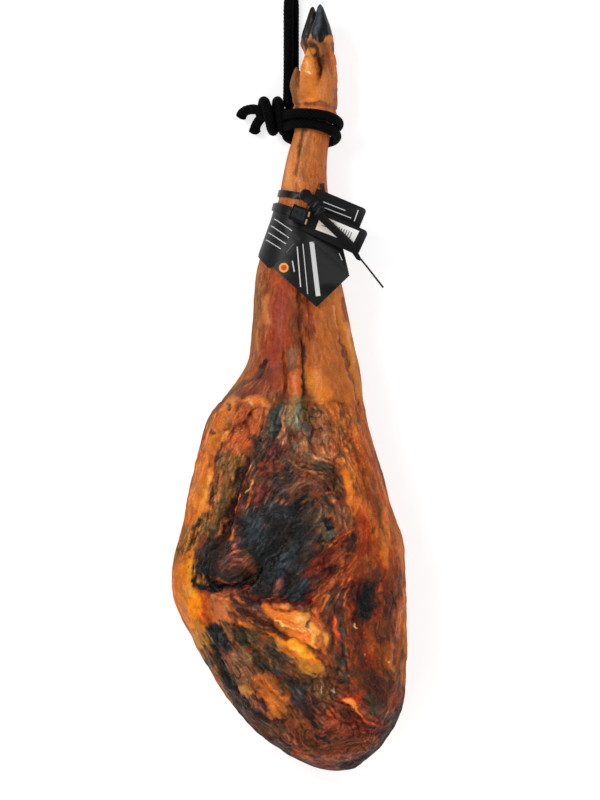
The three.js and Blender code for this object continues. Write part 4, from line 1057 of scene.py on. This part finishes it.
def leg_piece(name, first, last, columns, corners, turns, tint, values):
    """A piece of the leg between two rings. The butt and the shank are closed at the leg's ends."""
    picked = slice(first * columns, (last + 1) * columns)
    corners, turns, tint = corners[picked], turns[picked], tint[picked]
    values = {kind: given[picked] for kind, given in values.items()}
    rings = last - first + 1
    faces = tube_faces(rings, columns)
    if name != "ham_thigh":
        at_butt = name == "ham_butt"
        start = 0 if at_butt else (rings - 1) * columns
        rim = slice(start, start + columns)
        for c in range(columns):
            d = (c + 1) % columns
            pair = (d, c) if at_butt else (c, d)
            faces.append((rings * columns, start + pair[0], start + pair[1]))
        middle = BUTT_MIDDLE if at_butt else corners[rim].mean(axis=0)
        corners = np.vstack([corners, middle])
        turns = np.vstack([turns, (0, -1 if at_butt else 1, 0)])
        tint = np.vstack([tint, tint[rim].mean(axis=0)])
        values = {kind: np.append(given, CAP_VALUES[kind]) for kind, given in values.items()}
    piece = mesh_object(name, corners, faces)
    set_colour(piece, "tint", tint)
    for kind, given in values.items():
        set_value(piece, kind, given)
    piece.data.normals_split_custom_set_from_vertices(turns.tolist())
    piece.data.materials.append(meat)
    return piece


def build_body():
    """The leg in three pieces that share their rims and their shading."""
    grid = soften(leg_grid(), SOFTENINGS)
    rings, columns = grid.shape[:2]
    points = grid.reshape(-1, 3)
    normals = grid_normals(grid).reshape(-1, 3)
    facing = smooth((normals[:, 2] + 0.25) / 0.5)
    across, down = seen(points)
    marks = surface_marks(points, normals)
    colour = paint(points, facing, marks)
    edge_skin = smooth((across - SKIN_FROM - 5) / 20) * (points[:, 1] < 0.05)
    calm = np.maximum(fat_share(colour, facing), 0.55 * edge_skin)
    colour = detail(points, colour, facing, marks)
    # Painted shade: the leg darker where its surface turns away from straight up, and darker still on the
    # slopes of the butt.
    colour *= (0.80 + 0.20 * smooth(normals[:, 2] / 0.55) * facing)[:, None]
    butt = smooth((down - BUTT_FROM) / 25) * facing
    colour *= (1 - 0.34 * butt * (1 - smooth((normals[:, 2] - 0.3) / 0.5)))[:, None]
    meaty = smooth((down - MEAT_FROM + 2) / 12) * (1 - calm)
    dark = smooth((0.03 - colour.mean(axis=1)) / 0.02)
    values = {
        "gloss": gloss_of(points, normals, colour, facing),
        "grain": (0.15 + 0.65 * (1 - calm)) * smooth(normals[:, 2] / 0.5),
        "grit": 0.20 + (0.16 * meaty + 0.10 * dark) * facing,
    }
    from_butt = np.clip((points[:, 1] - BUTT_END) / 0.006, 0, 1)
    from_cut = np.clip((CUT_AT - points[:, 1]) / FOOT_OVERLAP, 0, 1)
    inner = smooth(from_butt * from_cut)[:, None]
    moved = carve(points, normals * inner, facing, marks, calm)
    moved[:, 2] = np.maximum(moved[:, 2], FLOOR_GAP)
    shading = grid_normals(moved.reshape(rings, columns, 3)).reshape(-1, 3)
    stations = grid[:, 0, 1]
    thigh = int(np.searchsorted(stations, LOW_CUT - 1e-6))
    shank = int(np.searchsorted(stations, SKIN_CUT - 1e-6))
    return [
        leg_piece("ham_butt", 0, thigh, columns, moved, shading, colour, values),
        leg_piece("ham_thigh", thigh, shank, columns, moved, shading, colour, values),
        leg_piece("ham_shank", shank, rings - 1, columns, moved, shading, colour, values),
    ]


def drop_below(mesh, y):
    """Closes a mesh off at y, without what lies nearer the butt."""
    bm = bmesh.new()
    bm.from_mesh(mesh)
    bmesh.ops.remove_doubles(bm, verts=bm.verts[:], dist=1e-6)
    whole = bm.verts[:] + bm.edges[:] + bm.faces[:]
    cut = bmesh.ops.bisect_plane(
        bm, geom=whole, plane_co=(0, y, 0), plane_no=(0, -1, 0), clear_outer=True, clear_inner=False
    )
    rim = [e for e in cut["geom_cut"] if isinstance(e, bmesh.types.BMEdge)]
    bmesh.ops.contextual_create(bm, geom=rim)
    bm.to_mesh(mesh)
    bm.free()


FOOT_VOXEL = 0.0011
HORN_EDGE = np.array([
    (298, 36), (302, 37.5), (305.5, 40.5), (308.5, 38), (311, 34.2), (312.5, 39), (316, 42.5), (320, 45),
    (323.5, 43), (325, 38), (329, 36), (333, 35), (340, 33),
])
# The line of the painted sheen down the right claw, and the split between the claws, which is carved in and
# painted darker as painted shade.
HORN_SHEEN = [(320, 8), (319.5, 16), (318, 25), (315.5, 33)]
HORN_SPLIT = [(315.4, 7.5), (313.6, 18), (310, 27), (307.4, 34), (307.2, 40)]
DEWCLAW_FOLD = [(313.5, 48), (316.5, 60), (318.5, 74)]


def remeshed_foot():
    """The frame's trotter as an even, rounded mesh."""
    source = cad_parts["ham"].data.copy()
    drop_below(source, CUT_AT - FOOT_OVERLAP)
    foot = new_object("ham_foot", source)
    remesh = foot.modifiers.new("remesh", "REMESH")
    remesh.mode = "VOXEL"
    remesh.voxel_size = FOOT_VOXEL
    relax = foot.modifiers.new("relax", "SMOOTH")
    relax.factor = 0.5
    relax.iterations = 7
    bpy.context.view_layer.update()
    settled = foot.evaluated_get(bpy.context.evaluated_depsgraph_get())
    settled = bpy.data.meshes.new_from_object(settled)
    foot.modifiers.clear()
    foot.data = settled
    return foot


def vertex_values(mesh, kind):
    flat = np.zeros(len(mesh.vertices) * 3)
    mesh.vertices.foreach_get(kind, flat)
    return flat.reshape(-1, 3)


def build_foot():
    """The trotter: painted skin with wrinkles, and two claws of horn with a painted sheen, a split darkened
    with painted shade, and a bright rim of painted highlight along the split's lips.
    """
    foot = remeshed_foot()
    mesh = foot.data
    points = vertex_values(mesh, "co")
    normals = vertex_values(mesh, "normal")
    facing = smooth((normals[:, 2] + 0.45) / 0.6)
    marks = surface_marks(points, normals)
    colour = detail(points, paint(points, facing, marks), facing, marks)
    across, down = seen(points)
    wander = 1.4 * layers(points, 0.005, 3, 101)
    horn = smooth((np.interp(across, *HORN_EDGE.T) - down + wander + 1.0) / 2.0)
    x, y = points[:, 0], points[:, 1]
    # The horn: its painted sheen, painted shade in the split between the claws, and a painted highlight
    # along the split's lips.
    sheen = ridge(x, y, HORN_SHEEN, 2.6) * (0.75 + 0.4 * layers(points, 0.004, 3, 103))
    split = ridge(x, y, HORN_SPLIT, 1.1) * facing
    drawn_out = points * np.array([1, 0.2, 1])
    hoof = np.tile(linear(HORN_DARK), (len(points), 1))
    blend(hoof, HORN_PAINTED_SHEEN, sheen)
    hoof *= (1 + 0.30 * layers(drawn_out, 0.003, 2, 107) - 0.8 * split)[:, None]
    # Painted highlight along both lips of the split.
    apart = line_distance(x, y, to_places(HORN_SPLIT)) / UNIT
    lip_highlight = np.exp(-(((apart - 1.9) / 0.8) ** 2)) * facing * 0.6
    hoof += linear(HORN_LIP_HIGHLIGHT) * lip_highlight[:, None]
    colour += (hoof - colour) * horn[:, None]
    seam = np.exp(-(((horn - 0.35) / 0.22) ** 2)) * 0.6
    blend(colour, HORN_SEAM, seam)
    wrinkle = layers(points * np.array([0.35, 1.0, 0.5]), 0.005, 3, 109)
    bend = layers(points, 0.012, 3, 111)
    crease = -1.2 * np.exp(-(((down - 107 - 0.12 * (across - 315)) / 1.6) ** 2))
    fold = ridge(x, y, DEWCLAW_FOLD, 2.4) * facing
    move = (1 - horn) * (0.35 * wrinkle + 0.5 * bend + crease - 1.6 * fold)
    move += horn * (0.12 * layers(drawn_out, 0.003, 2, 113) - 1.3 * split)
    points = points + normals * (MM * move)[:, None]
    mesh.vertices.foreach_set("co", points.ravel())
    mesh.shade_smooth()
    set_colour(foot, "tint", np.clip(colour, 0, 1))
    gloss = gloss_of(points, normals, colour, facing)
    set_value(foot, "gloss", gloss * (1 - horn) + 0.30 * horn)
    set_value(foot, "grain", 0.16 * (1 - horn) + 0.08 * horn)
    set_value(foot, "grit", 0.20 * (1 - horn) + 0.14 * horn)
    mesh.materials.clear()
    mesh.materials.append(meat)
    return foot


for piece in (*build_body(), build_foot()):
    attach(piece, "root")
    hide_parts("ham")


# The braided rope.
ROPE = 0.0105
ROPE_RADIUS = ROPE / 2 / MM  # in millimetres
CORE_THICKNESS = 1.25  # of the knot's core, in ropes
SHANK_ENDS = [  # y, left, right, rind and crown of the leg under the rope, in millimetres
    (248, -1, 41, 11.3, 55.6), (262, 4, 43, 11.25, 54.4), (272, 5.5, 44, 11.2, 54.0),
    (287, 3.2, 50, 10.2, 58.3), (301, 3, 51.5, 10.4, 60),
]


def section_at(y):
    return [float(v[0]) for v in along(np.array([y]), SHANK_ENDS)]


def curve_through(points, spacing):
    """Points at an even spacing on a smooth curve through the given ones."""
    p = np.asarray(points, float)
    ends = np.vstack([2 * p[0] - p[1], p, 2 * p[-1] - p[-2]])
    fine = []
    for i in range(1, len(ends) - 2):
        a, b, c, d = ends[i - 1 : i + 3]
        squared = 2 * a - 5 * b + 4 * c - d
        cubed = 3 * b - a - 3 * c + d
        for t in np.linspace(0, 1, 24, endpoint=False):
            fine.append(0.5 * (2 * b + (c - a) * t + squared * t**2 + cubed * t**3))
    fine = np.asarray(fine + [p[-1]])
    reach = np.concatenate([[0], np.cumsum(np.linalg.norm(np.diff(fine, axis=0), axis=1))])
    want = np.linspace(0, reach[-1], max(3, int(reach[-1] / spacing) + 1))
    return np.stack([np.interp(want, reach, fine[:, k]) for k in range(3)], axis=1)


def carried_frames(path):
    """Two sideways directions at each point of a path, carried along it without twisting."""
    ahead = np.gradient(path, axis=0)
    ahead /= np.linalg.norm(ahead, axis=1, keepdims=True)
    side = np.cross(ahead[0], (0, 0, 1))
    if np.linalg.norm(side) < 0.1:
        side = np.cross(ahead[0], (0, 1, 0))
    sides = []
    for way in ahead:
        side = side - way * side.dot(way)
        side /= np.linalg.norm(side)
        sides.append(side)
    sides = np.asarray(sides)
    return sides, np.cross(ahead, sides)


PLAITS = 8
BRAID_COLUMNS = 36
# The rope's own near-black, and the painted highlight on the crests of its strands.
ROPE_DARK = (1, 1, 1)
ROPE_LIT = (18, 18, 19)


def strand_crest(v):
    """The round height of a strand, where v counts strands across."""
    return np.sqrt(np.maximum(0, 1 - (2 * (v - np.floor(v)) - 1) ** 2))


def braided(path, radius, melted=False):
    """Corners, faces and weave of a round braid with closed ends. A melted far end is lumpy."""
    sides, ups = carried_frames(path)
    steps = np.linalg.norm(np.diff(path, axis=0), axis=1)
    run = np.concatenate([[0], np.cumsum(steps)])
    turn = np.linspace(0, 2 * math.pi, BRAID_COLUMNS, endpoint=False)
    s, t = np.meshgrid(run, turn, indexing="ij")
    pitch = 2 * math.pi * radius * 0.95
    a = t * PLAITS / (2 * math.pi) + s * PLAITS / pitch
    b = t * PLAITS / (2 * math.pi) - s * PLAITS / pitch
    over = np.maximum(
        strand_crest(a) * (0.62 + 0.38 * np.sin(math.pi * (b + np.floor(a)))),
        strand_crest(b) * (0.62 + 0.38 * np.sin(math.pi * (a + np.floor(b)) + math.pi)),
    )
    outward = sides[:, None, :] * np.cos(t)[..., None] + ups[:, None, :] * np.sin(t)[..., None]
    spots = (path[:, None, :] + outward * radius).reshape(-1, 3)
    out = radius * (0.89 + 0.14 * over)
    out *= 1 + 0.03 * noise(spots, 0.0006, 121).reshape(out.shape)
    left = run[-1] - s
    if melted:
        lump = noise(spots, 0.0024, 127).reshape(out.shape)
        out *= 1 + 0.28 * np.exp(-((left / 0.0055) ** 2)) * (0.4 + lump)
    for gap in (s, left):
        out *= np.sqrt(np.clip(gap / 0.0016, 0.25, 1))
    skin = path[:, None, :] + outward * out[..., None]
    corners = np.vstack([skin.reshape(-1, 3), path[:1], path[-1:]])
    rings = len(path)
    first_end, last_end = rings * BRAID_COLUMNS, rings * BRAID_COLUMNS + 1
    last_ring = (rings - 1) * BRAID_COLUMNS
    faces = tube_faces(rings, BRAID_COLUMNS)
    for c in range(BRAID_COLUMNS):
        d = (c + 1) % BRAID_COLUMNS
        faces += [(first_end, d, c), (last_end, last_ring + c, last_ring + d)]
    return corners, faces, np.append(over.ravel(), [0.6, 0.6])


def rope_material():
    made, tree, shader = new_material("braided_rope")
    link(tree, attribute(tree, "tint")["Color"], shader.inputs["Base Color"])
    shader.inputs["Roughness"].default_value = 0.75
    shader.inputs["Specular IOR Level"].default_value = 0.03
    link(tree, bump(tree, noise_node(tree, 1500.0, 2.0, 0.6), 0.0003, 0.7), shader.inputs["Normal"])
    return made


rope_look = rope_material()


def joined(name, parts, look):
    """One piece of several parts. Parts with a weave are coloured by it: darker between the strands as
    painted shade, with a painted highlight on the strands' crests.
    """
    corners, faces, weave, start = [], [], [], 0
    for some_corners, some_faces, *values in parts:
        corners.append(some_corners)
        faces += [tuple(i + start for i in face) for face in some_faces]
        weave += [values[0]] if values else []
        start += len(some_corners)
    piece = mesh_object(name, np.vstack(corners), faces)
    if weave:
        # Painted shade between the strands and a painted highlight on their crests.
        lift = np.concatenate(weave)[:, None] ** 3
        fleck = 1 + 0.7 * noise(np.vstack(corners), 0.0009, 131)[:, None]
        set_colour(piece, "tint", (linear(ROPE_DARK) + lift * linear(ROPE_LIT)) * fleck)
    piece.data.materials.append(look)
    return piece


# Where the rope runs, in millimetres.
WRAP_TOP = 282.2
WRAP_PITCH = 10.7
WRAP_RISE = 5.2
WRAP_GAP = 1.6
WRAP_STEPS = 20  # to a turn
COIL_STEPS = 17
COIL_ACROSS = np.array([  # step and x
    (8, -4.4), (12.75, -5.7), (17, -9), (21.25, -12.4), (25.5, -14.6), (29.75, -16.9), (34, -21.5),
    (38.25, -27), (42, -29),
])
KNOT_MIDDLE = 286
KNOT_RADIUS = 15


def wrap_route():
    """Two turns round the leg, which slant a little more as they go."""
    route = []
    for i in range(2 * WRAP_STEPS + 1):
        angle = 2 * math.pi * i / WRAP_STEPS
        slant = 1.5 + 0.1 * max(0, i - 15)
        rise = slant * math.cos(angle) + WRAP_RISE * math.sin(angle)
        y = WRAP_TOP + rise - WRAP_PITCH * i / WRAP_STEPS
        left, right, back, crown = section_at(y)
        clear = ROPE_RADIUS + WRAP_GAP
        x = (left + right) / 2 - ((right - left) / 2 + clear) * math.cos(angle)
        z = (crown + back) / 2 + ((crown - back) / 2 + clear) * math.sin(angle)
        route.append((x, y, max(ROPE_RADIUS + 0.2, z)))
    return route


def coil_route():
    """The turns of the knot, wound towards the left."""
    route = []
    for i in np.arange(8, 42.1, 1.0):
        angle = 2 * math.pi * i / COIL_STEPS
        across = float(np.interp(i, *COIL_ACROSS.T))
        y = KNOT_MIDDLE + 15.7 * math.sin(angle)
        z = KNOT_RADIUS + ROPE_RADIUS + KNOT_RADIUS * math.cos(angle)
        route.append((across, y, z))
    return route


CORE = [(-1, 286, 20.5), (-14, 286, 20.5), (-27, 288, 20.5), (-33, 291, 19)]
ROOT_END = [(-1.2, 294.9, 19.5), (-1.1, 290, 19.6), (-1, 286, 20)]
LONG_END = [(-25, 290, 21), (-37, 293.4, 18), (-47, 291.8, 12.5), (-51.5, 286, 6.5)]
SHORT_END = [(-24, 288, 17), (-31, 283, 12.5), (-35.5, 276, 8), (-37, 268.3, 5.7)]
LOOP = [
    (-1.2, 295, 19.5), (-1.2, 305.6, 18.2), (-1, 317, 15.8), (-0.7, 335, 14.9), (-0.65, 360, 14.9),
    (-0.65, 385, 14.9), (-0.5, 405, 15), (1.6, 418, 16.8), (7.5, 431, 14.2), (15, 441, 9.4),
    (22.4, 450, 6.3), (26.5, 461, 5.6), (24.4, 471, 5.6), (15.4, 479.5, 5.6), (4.2, 482.5, 5.6),
    (-7, 479.5, 5.6), (-16, 471, 5.6), (-18.5, 461, 5.6), (-15, 450, 5.6), (-8, 441, 5.6),
    (-1, 431, 5.6), (3.5, 418, 5.6), (5.25, 405, 5.6), (5.25, 385, 5.6), (5.25, 360, 5.6),
    (5.25, 335, 5.6), (5.4, 313, 5.6), (5.8, 291.4, 5.6),
]
FINE_STEP = 0.0007


def rope_path(route):
    return curve_through(np.asarray(route) * MM, FINE_STEP)


tie = joined(
    "rope_tie_braid",
    [
        braided(rope_path(wrap_route()), ROPE / 2),
        braided(rope_path(coil_route()), ROPE / 2),
        braided(rope_path(CORE), ROPE / 2 * CORE_THICKNESS),
        braided(rope_path(ROOT_END), ROPE / 2),
        braided(rope_path(LONG_END), ROPE / 2, melted=True),
        braided(rope_path(SHORT_END), ROPE / 2, melted=True),
    ],
    rope_look,
)
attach(tie, "root")
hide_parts("rope_tie")

loop_path = rope_path(LOOP)
loop = joined("rope_loop_braid", [braided(loop_path, ROPE / 2)], rope_look)
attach(loop, "root")
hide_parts("rope_loop")


# The label, the tags and the seals: the frame's own shapes with rounded edges, plain printed marks, and
# painted light: a highlight along the label's fold, shade on part of the sticker, a sheen on the block's top
# and shade in its holes.
def plain_look(name, colour, rough, specular, grain=None):
    """One even colour. A grain is the height of its bumps and how fine they are."""
    made, tree, shader = new_material(name)
    shader.inputs["Base Color"].default_value = (*linear(colour), 1)
    shader.inputs["Roughness"].default_value = rough
    shader.inputs["Specular IOR Level"].default_value = specular
    if grain:
        height, scale = grain
        link(tree, bump(tree, noise_node(tree, scale, 3.0, 0.6), height, 0.5), shader.inputs["Normal"])
    return made


SHARP_FROM = math.radians(38)
BEVEL_FROM = math.radians(50)


def refined(node, name, look, bevel):
    """The frame's own shape with welded corners, smooth shading and rounded edges."""
    bm = bmesh.new()
    bm.from_mesh(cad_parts[node].data)
    bmesh.ops.remove_doubles(bm, verts=bm.verts[:], dist=2e-6)
    mesh = bpy.data.meshes.new(name)
    bm.to_mesh(mesh)
    bm.free()
    mesh.materials.clear()
    mesh.materials.append(look)
    piece = new_object(name, mesh)
    mesh.shade_smooth()
    mesh.set_sharp_from_angle(angle=SHARP_FROM)
    edge = piece.modifiers.new("edge", "BEVEL")
    edge.width = bevel
    edge.segments = 2
    edge.limit_method = "ANGLE"
    edge.angle_limit = BEVEL_FROM
    edge.use_clamp_overlap = True
    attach(piece, "root")
    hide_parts(node)
    return piece


card_look = plain_look("label_card", (16, 17, 18), 0.42, 0.20, (0.0002, 260.0))
tag_look = plain_look("tag_card", (15, 16, 18), 0.36, 0.22, (0.0001, 300.0))
seal_look = plain_look("seal_plastic", (11, 11, 12), 0.34, 0.20, (0.0001, 700.0))
# The sticker is one paper: its left part is painted darker and warmer as painted shade, and its right part
# has the paper's own pale colour.
cream_paper_shade_look = plain_look("sticker_paper", (226, 214, 200), 0.55, 0.2)
pale_look = plain_look("sticker_paper_pale", (236, 234, 230), 0.55, 0.2)
print_look = plain_look("pale_print", (206, 207, 205), 0.5, 0.2)
dot_look = plain_look("amber_dot", (236, 160, 30), 0.42, 0.2)
fold_highlight_look = plain_look("fold_edge_highlight", (96, 104, 108), 0.4, 0.3)
block_sheen_look = plain_look("block_top_sheen", (27, 32, 35), 0.38, 0.3, (0.0001, 700.0))
hole_shade_look = plain_look("block_hole_shade", (5, 6, 7), 0.5, 0.2)
ruby_look = plain_look("ruby_dot", (196, 52, 22), 0.42, 0.2)
ink_look = plain_look("grey_print", (92, 88, 84), 0.5, 0.3)
beige_look = plain_look("beige_mark", (176, 132, 104), 0.5, 0.3)

for node, name, look, bevel, slot_name in (
    ("label", "label_card", card_look, 0.00025, "label_board"),
    ("tag_upper", "tag_upper_card", tag_look, 0.0002, "tag_board"),
    ("tag_lower", "tag_lower_card", tag_look, 0.0002, "tag_board"),
    ("pull_seal", "pull_seal_moulding", seal_look, 0.0004, "seal_plastic"),
    ("clip_seal", "clip_seal_moulding", seal_look, 0.0004, "seal_plastic"),
):
    refined(node, name, look, bevel)


CARD_TOP = 0.07  # where a mark's corner lies if the ray down to the card misses
LIFT = 0.0003
HIGHER = 0.0005


def top_of(tree, x, y, lost):
    hit = tree.ray_cast(Vector((x, y, 0.3)), Vector((0, 0, -1)))[0]
    return hit.z if hit else lost


def laid_patch(tree, corners, lift, columns, rows):
    """A thin patch over four corners, given as the view from above has them, for print, for paper and for
    painted light.
    """
    a, b, c, d = [np.array(place(*spot)) for spot in corners]
    points, last = [], CARD_TOP
    for r in range(rows + 1):
        for k in range(columns + 1):
            u, v = k / columns, r / rows
            x, y = (a * (1 - u) + b * u) * (1 - v) + (d * (1 - u) + c * u) * v
            last = top_of(tree, x, y, last)
            points.append((x, y, last + lift))
    faces = []
    for r in range(rows):
        for k in range(columns):
            i = r * (columns + 1) + k
            faces.append((i, i + columns + 1, i + columns + 2, i + 1))
    return points, faces


def stripe(tree, start, end, width, lift=LIFT):
    """A straight line laid on a surface, for print and for a painted highlight."""
    sx, sy = start
    ex, ey = end
    length = math.hypot(ex - sx, ey - sy)
    nx, ny = -(ey - sy) / length * width / 2, (ex - sx) / length * width / 2
    corners = [(sx + nx, sy + ny), (ex + nx, ey + ny), (ex - nx, ey - ny), (sx - nx, sy - ny)]
    return laid_patch(tree, corners, lift, max(6, int(length)), 2 if width > 2 else 1)


def laid_print_and_painted_light(name, parts, look):
    piece = joined(name, parts, look)
    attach(piece, "root")


DOT_CORNERS = 28


def dot(tree, across, down, half, lift):
    """A round spot laid on a surface, for print and for painted shade in a hole."""
    turns = np.linspace(0, 2 * math.pi, DOT_CORNERS, endpoint=False)
    spots = [(across, down)] + [(across + half * math.cos(t), down + half * math.sin(t)) for t in turns]
    corners = [(*place(*spot), top_of(tree, *place(*spot), CARD_TOP) + lift) for spot in spots]
    return np.array(corners), [(0, 1 + (k + 1) % DOT_CORNERS, 1 + k) for k in range(DOT_CORNERS)]


LABEL_LINES = [  # start, end and width
    ((311.6, 243), (318.0, 297), 4.6),
    ((302.8, 245), (307.6, 295), 0.8),
    ((297.2, 248), (300.6, 288), 1.1),
    ((292.4, 262), (294.4, 273), 1.1),
    ((274, 219), (292, 232), 0.8),
    ((271, 226), (289, 239), 0.8),
    ((268.5, 233), (286, 245), 0.8),
    ((266, 240), (281, 250), 0.8),
    ((339, 254), (342, 261), 0.8),
]
# A painted highlight along the card's edge at the fold, where the label overlaps itself.
FOLD_HIGHLIGHT_LINE = ((286.2, 253.6), (293.6, 245.2), 0.6)
LABEL_DOT = (283.9, 268.8)
label_tree, upper_tree, lower_tree = tree_of("label"), tree_of("tag_upper"), tree_of("tag_lower")
laid_print_and_painted_light("label_plain_lines", [stripe(label_tree, *line) for line in LABEL_LINES], print_look)
laid_print_and_painted_light("label_fold_highlight", [stripe(label_tree, *FOLD_HIGHLIGHT_LINE)], fold_highlight_look)
laid_print_and_painted_light("label_dot", [dot(label_tree, *LABEL_DOT, 4.8, LIFT)], dot_look)
laid_print_and_painted_light("label_dot_middle", [dot(label_tree, *LABEL_DOT, 2.8, HIGHER)], ruby_look)
laid_print_and_painted_light(
    "tag_plain_lines",
    [
        stripe(upper_tree, (323, 203), (345, 211.5), 0.8),
        stripe(upper_tree, (322, 208), (351, 219), 0.8),
        stripe(upper_tree, (358, 211), (354, 222), 1.0),
    ],
    print_look,
)
# The left part of the sticker, painted cream as painted shade.
laid_print_and_painted_light(
    "tag_sticker",
    [laid_patch(lower_tree, [(320.8, 216.5), (337, 223.2), (331.4, 236.8), (315.2, 230.7)], LIFT, 8, 5)],
    cream_paper_shade_look,
)
laid_print_and_painted_light(
    "tag_sticker_pale",
    [laid_patch(lower_tree, [(337, 223.2), (358.9, 232.2), (352.7, 244.9), (331.4, 236.8)], LIFT, 8, 5)],
    pale_look,
)
laid_print_and_painted_light(
    "sticker_plain_lines",
    [
        stripe(lower_tree, (337 + 2.4 * k, 227.4 + k), (334.2 + 2.4 * k, 234 + k), 0.8, HIGHER)
        for k in range(7)
    ]
    + [
        stripe(lower_tree, (324, 220.4), (334, 224.6), 0.7, HIGHER),
        stripe(lower_tree, (322.6, 223.4), (332.6, 227.4), 0.7, HIGHER),
        stripe(lower_tree, (321.2, 226.4), (329, 229.4), 0.7, HIGHER),
    ],
    ink_look,
)

clip_tree = tree_of("clip_seal")
laid_print_and_painted_light(
    "clip_plain_bars",
    [
        stripe(clip_tree, (309.4, 213.8), (308.2, 218.6), 1.6),
        stripe(clip_tree, (306.8, 221.0), (305.2, 226.0), 1.6),
    ],
    beige_look,
)
# A painted sheen on the top of the seal's block, lighter and bluer than its own plastic.
block_top_sheen = [(295.4, 205.9), (307.0, 209.9), (303.3, 223.2), (290.9, 217.6)]
laid_print_and_painted_light("clip_top_sheen", [laid_patch(clip_tree, block_top_sheen, 0.0002, 6, 5)], block_sheen_look)
# Painted shade: dark discs where the block has its two holes.
hole_shades = [dot(clip_tree, 296.8, 214.0, 1.1, 0.0004), dot(clip_tree, 301.6, 216.6, 1.1, 0.0004)]
laid_print_and_painted_light("clip_hole_shades", hole_shades, hole_shade_look)


# Light, floor and world.
LIGHT_AIM = Vector((0.0, 0.0, 0.03))


def soft_light(name, size, energy, where):
    data = bpy.data.lights.new(name, "AREA")
    data.shape = "RECTANGLE"
    data.size, data.size_y = size
    data.energy = energy
    lamp = new_object(name, data)
    lamp.location = where
    lamp.rotation_euler = (LIGHT_AIM - Vector(where)).to_track_quat("-Z", "Y").to_euler()


soft_light("key", (0.7, 0.7), 23, (-1.2, 0.9, 1.7))
soft_light("fill", (1.2, 1.2), 12, (1.3, 0.7, 1.5))
soft_light("low_left", (1.0, 0.8), 8, (-0.9, -1.2, 1.5))
soft_light("low_right", (1.2, 0.8), 7, (1.0, -1.2, 1.5))

world = bpy.data.worlds.new("studio")
world.use_nodes = True
background = world.node_tree.nodes["Background"]
background.inputs["Color"].default_value = (1, 1, 1, 1)
background.inputs["Strength"].default_value = 0.30
bpy.context.scene.world = world
bpy.context.scene.view_settings.view_transform = "Standard"

floor_mesh = bpy.data.meshes.new("floor")
floor_mesh.from_pydata([(-8, -8, 0), (8, -8, 0), (8, 8, 0), (-8, 8, 0)], [], [(0, 1, 2, 3)])
floor = new_object("floor", floor_mesh)
floor.location = (0, 0, -0.0004)
floor_look, _, floor_shader = new_material("floor")
floor_shader.inputs["Base Color"].default_value = (0.5, 0.5, 0.5, 1)
floor_shader.inputs["Roughness"].default_value = 0.9
floor_shader.inputs["Specular IOR Level"].default_value = 0.0
floor_shader.inputs["Emission Color"].default_value = (1, 1, 1, 1)
floor_shader.inputs["Emission Strength"].default_value = 0.68
floor_mesh.materials.append(floor_look)
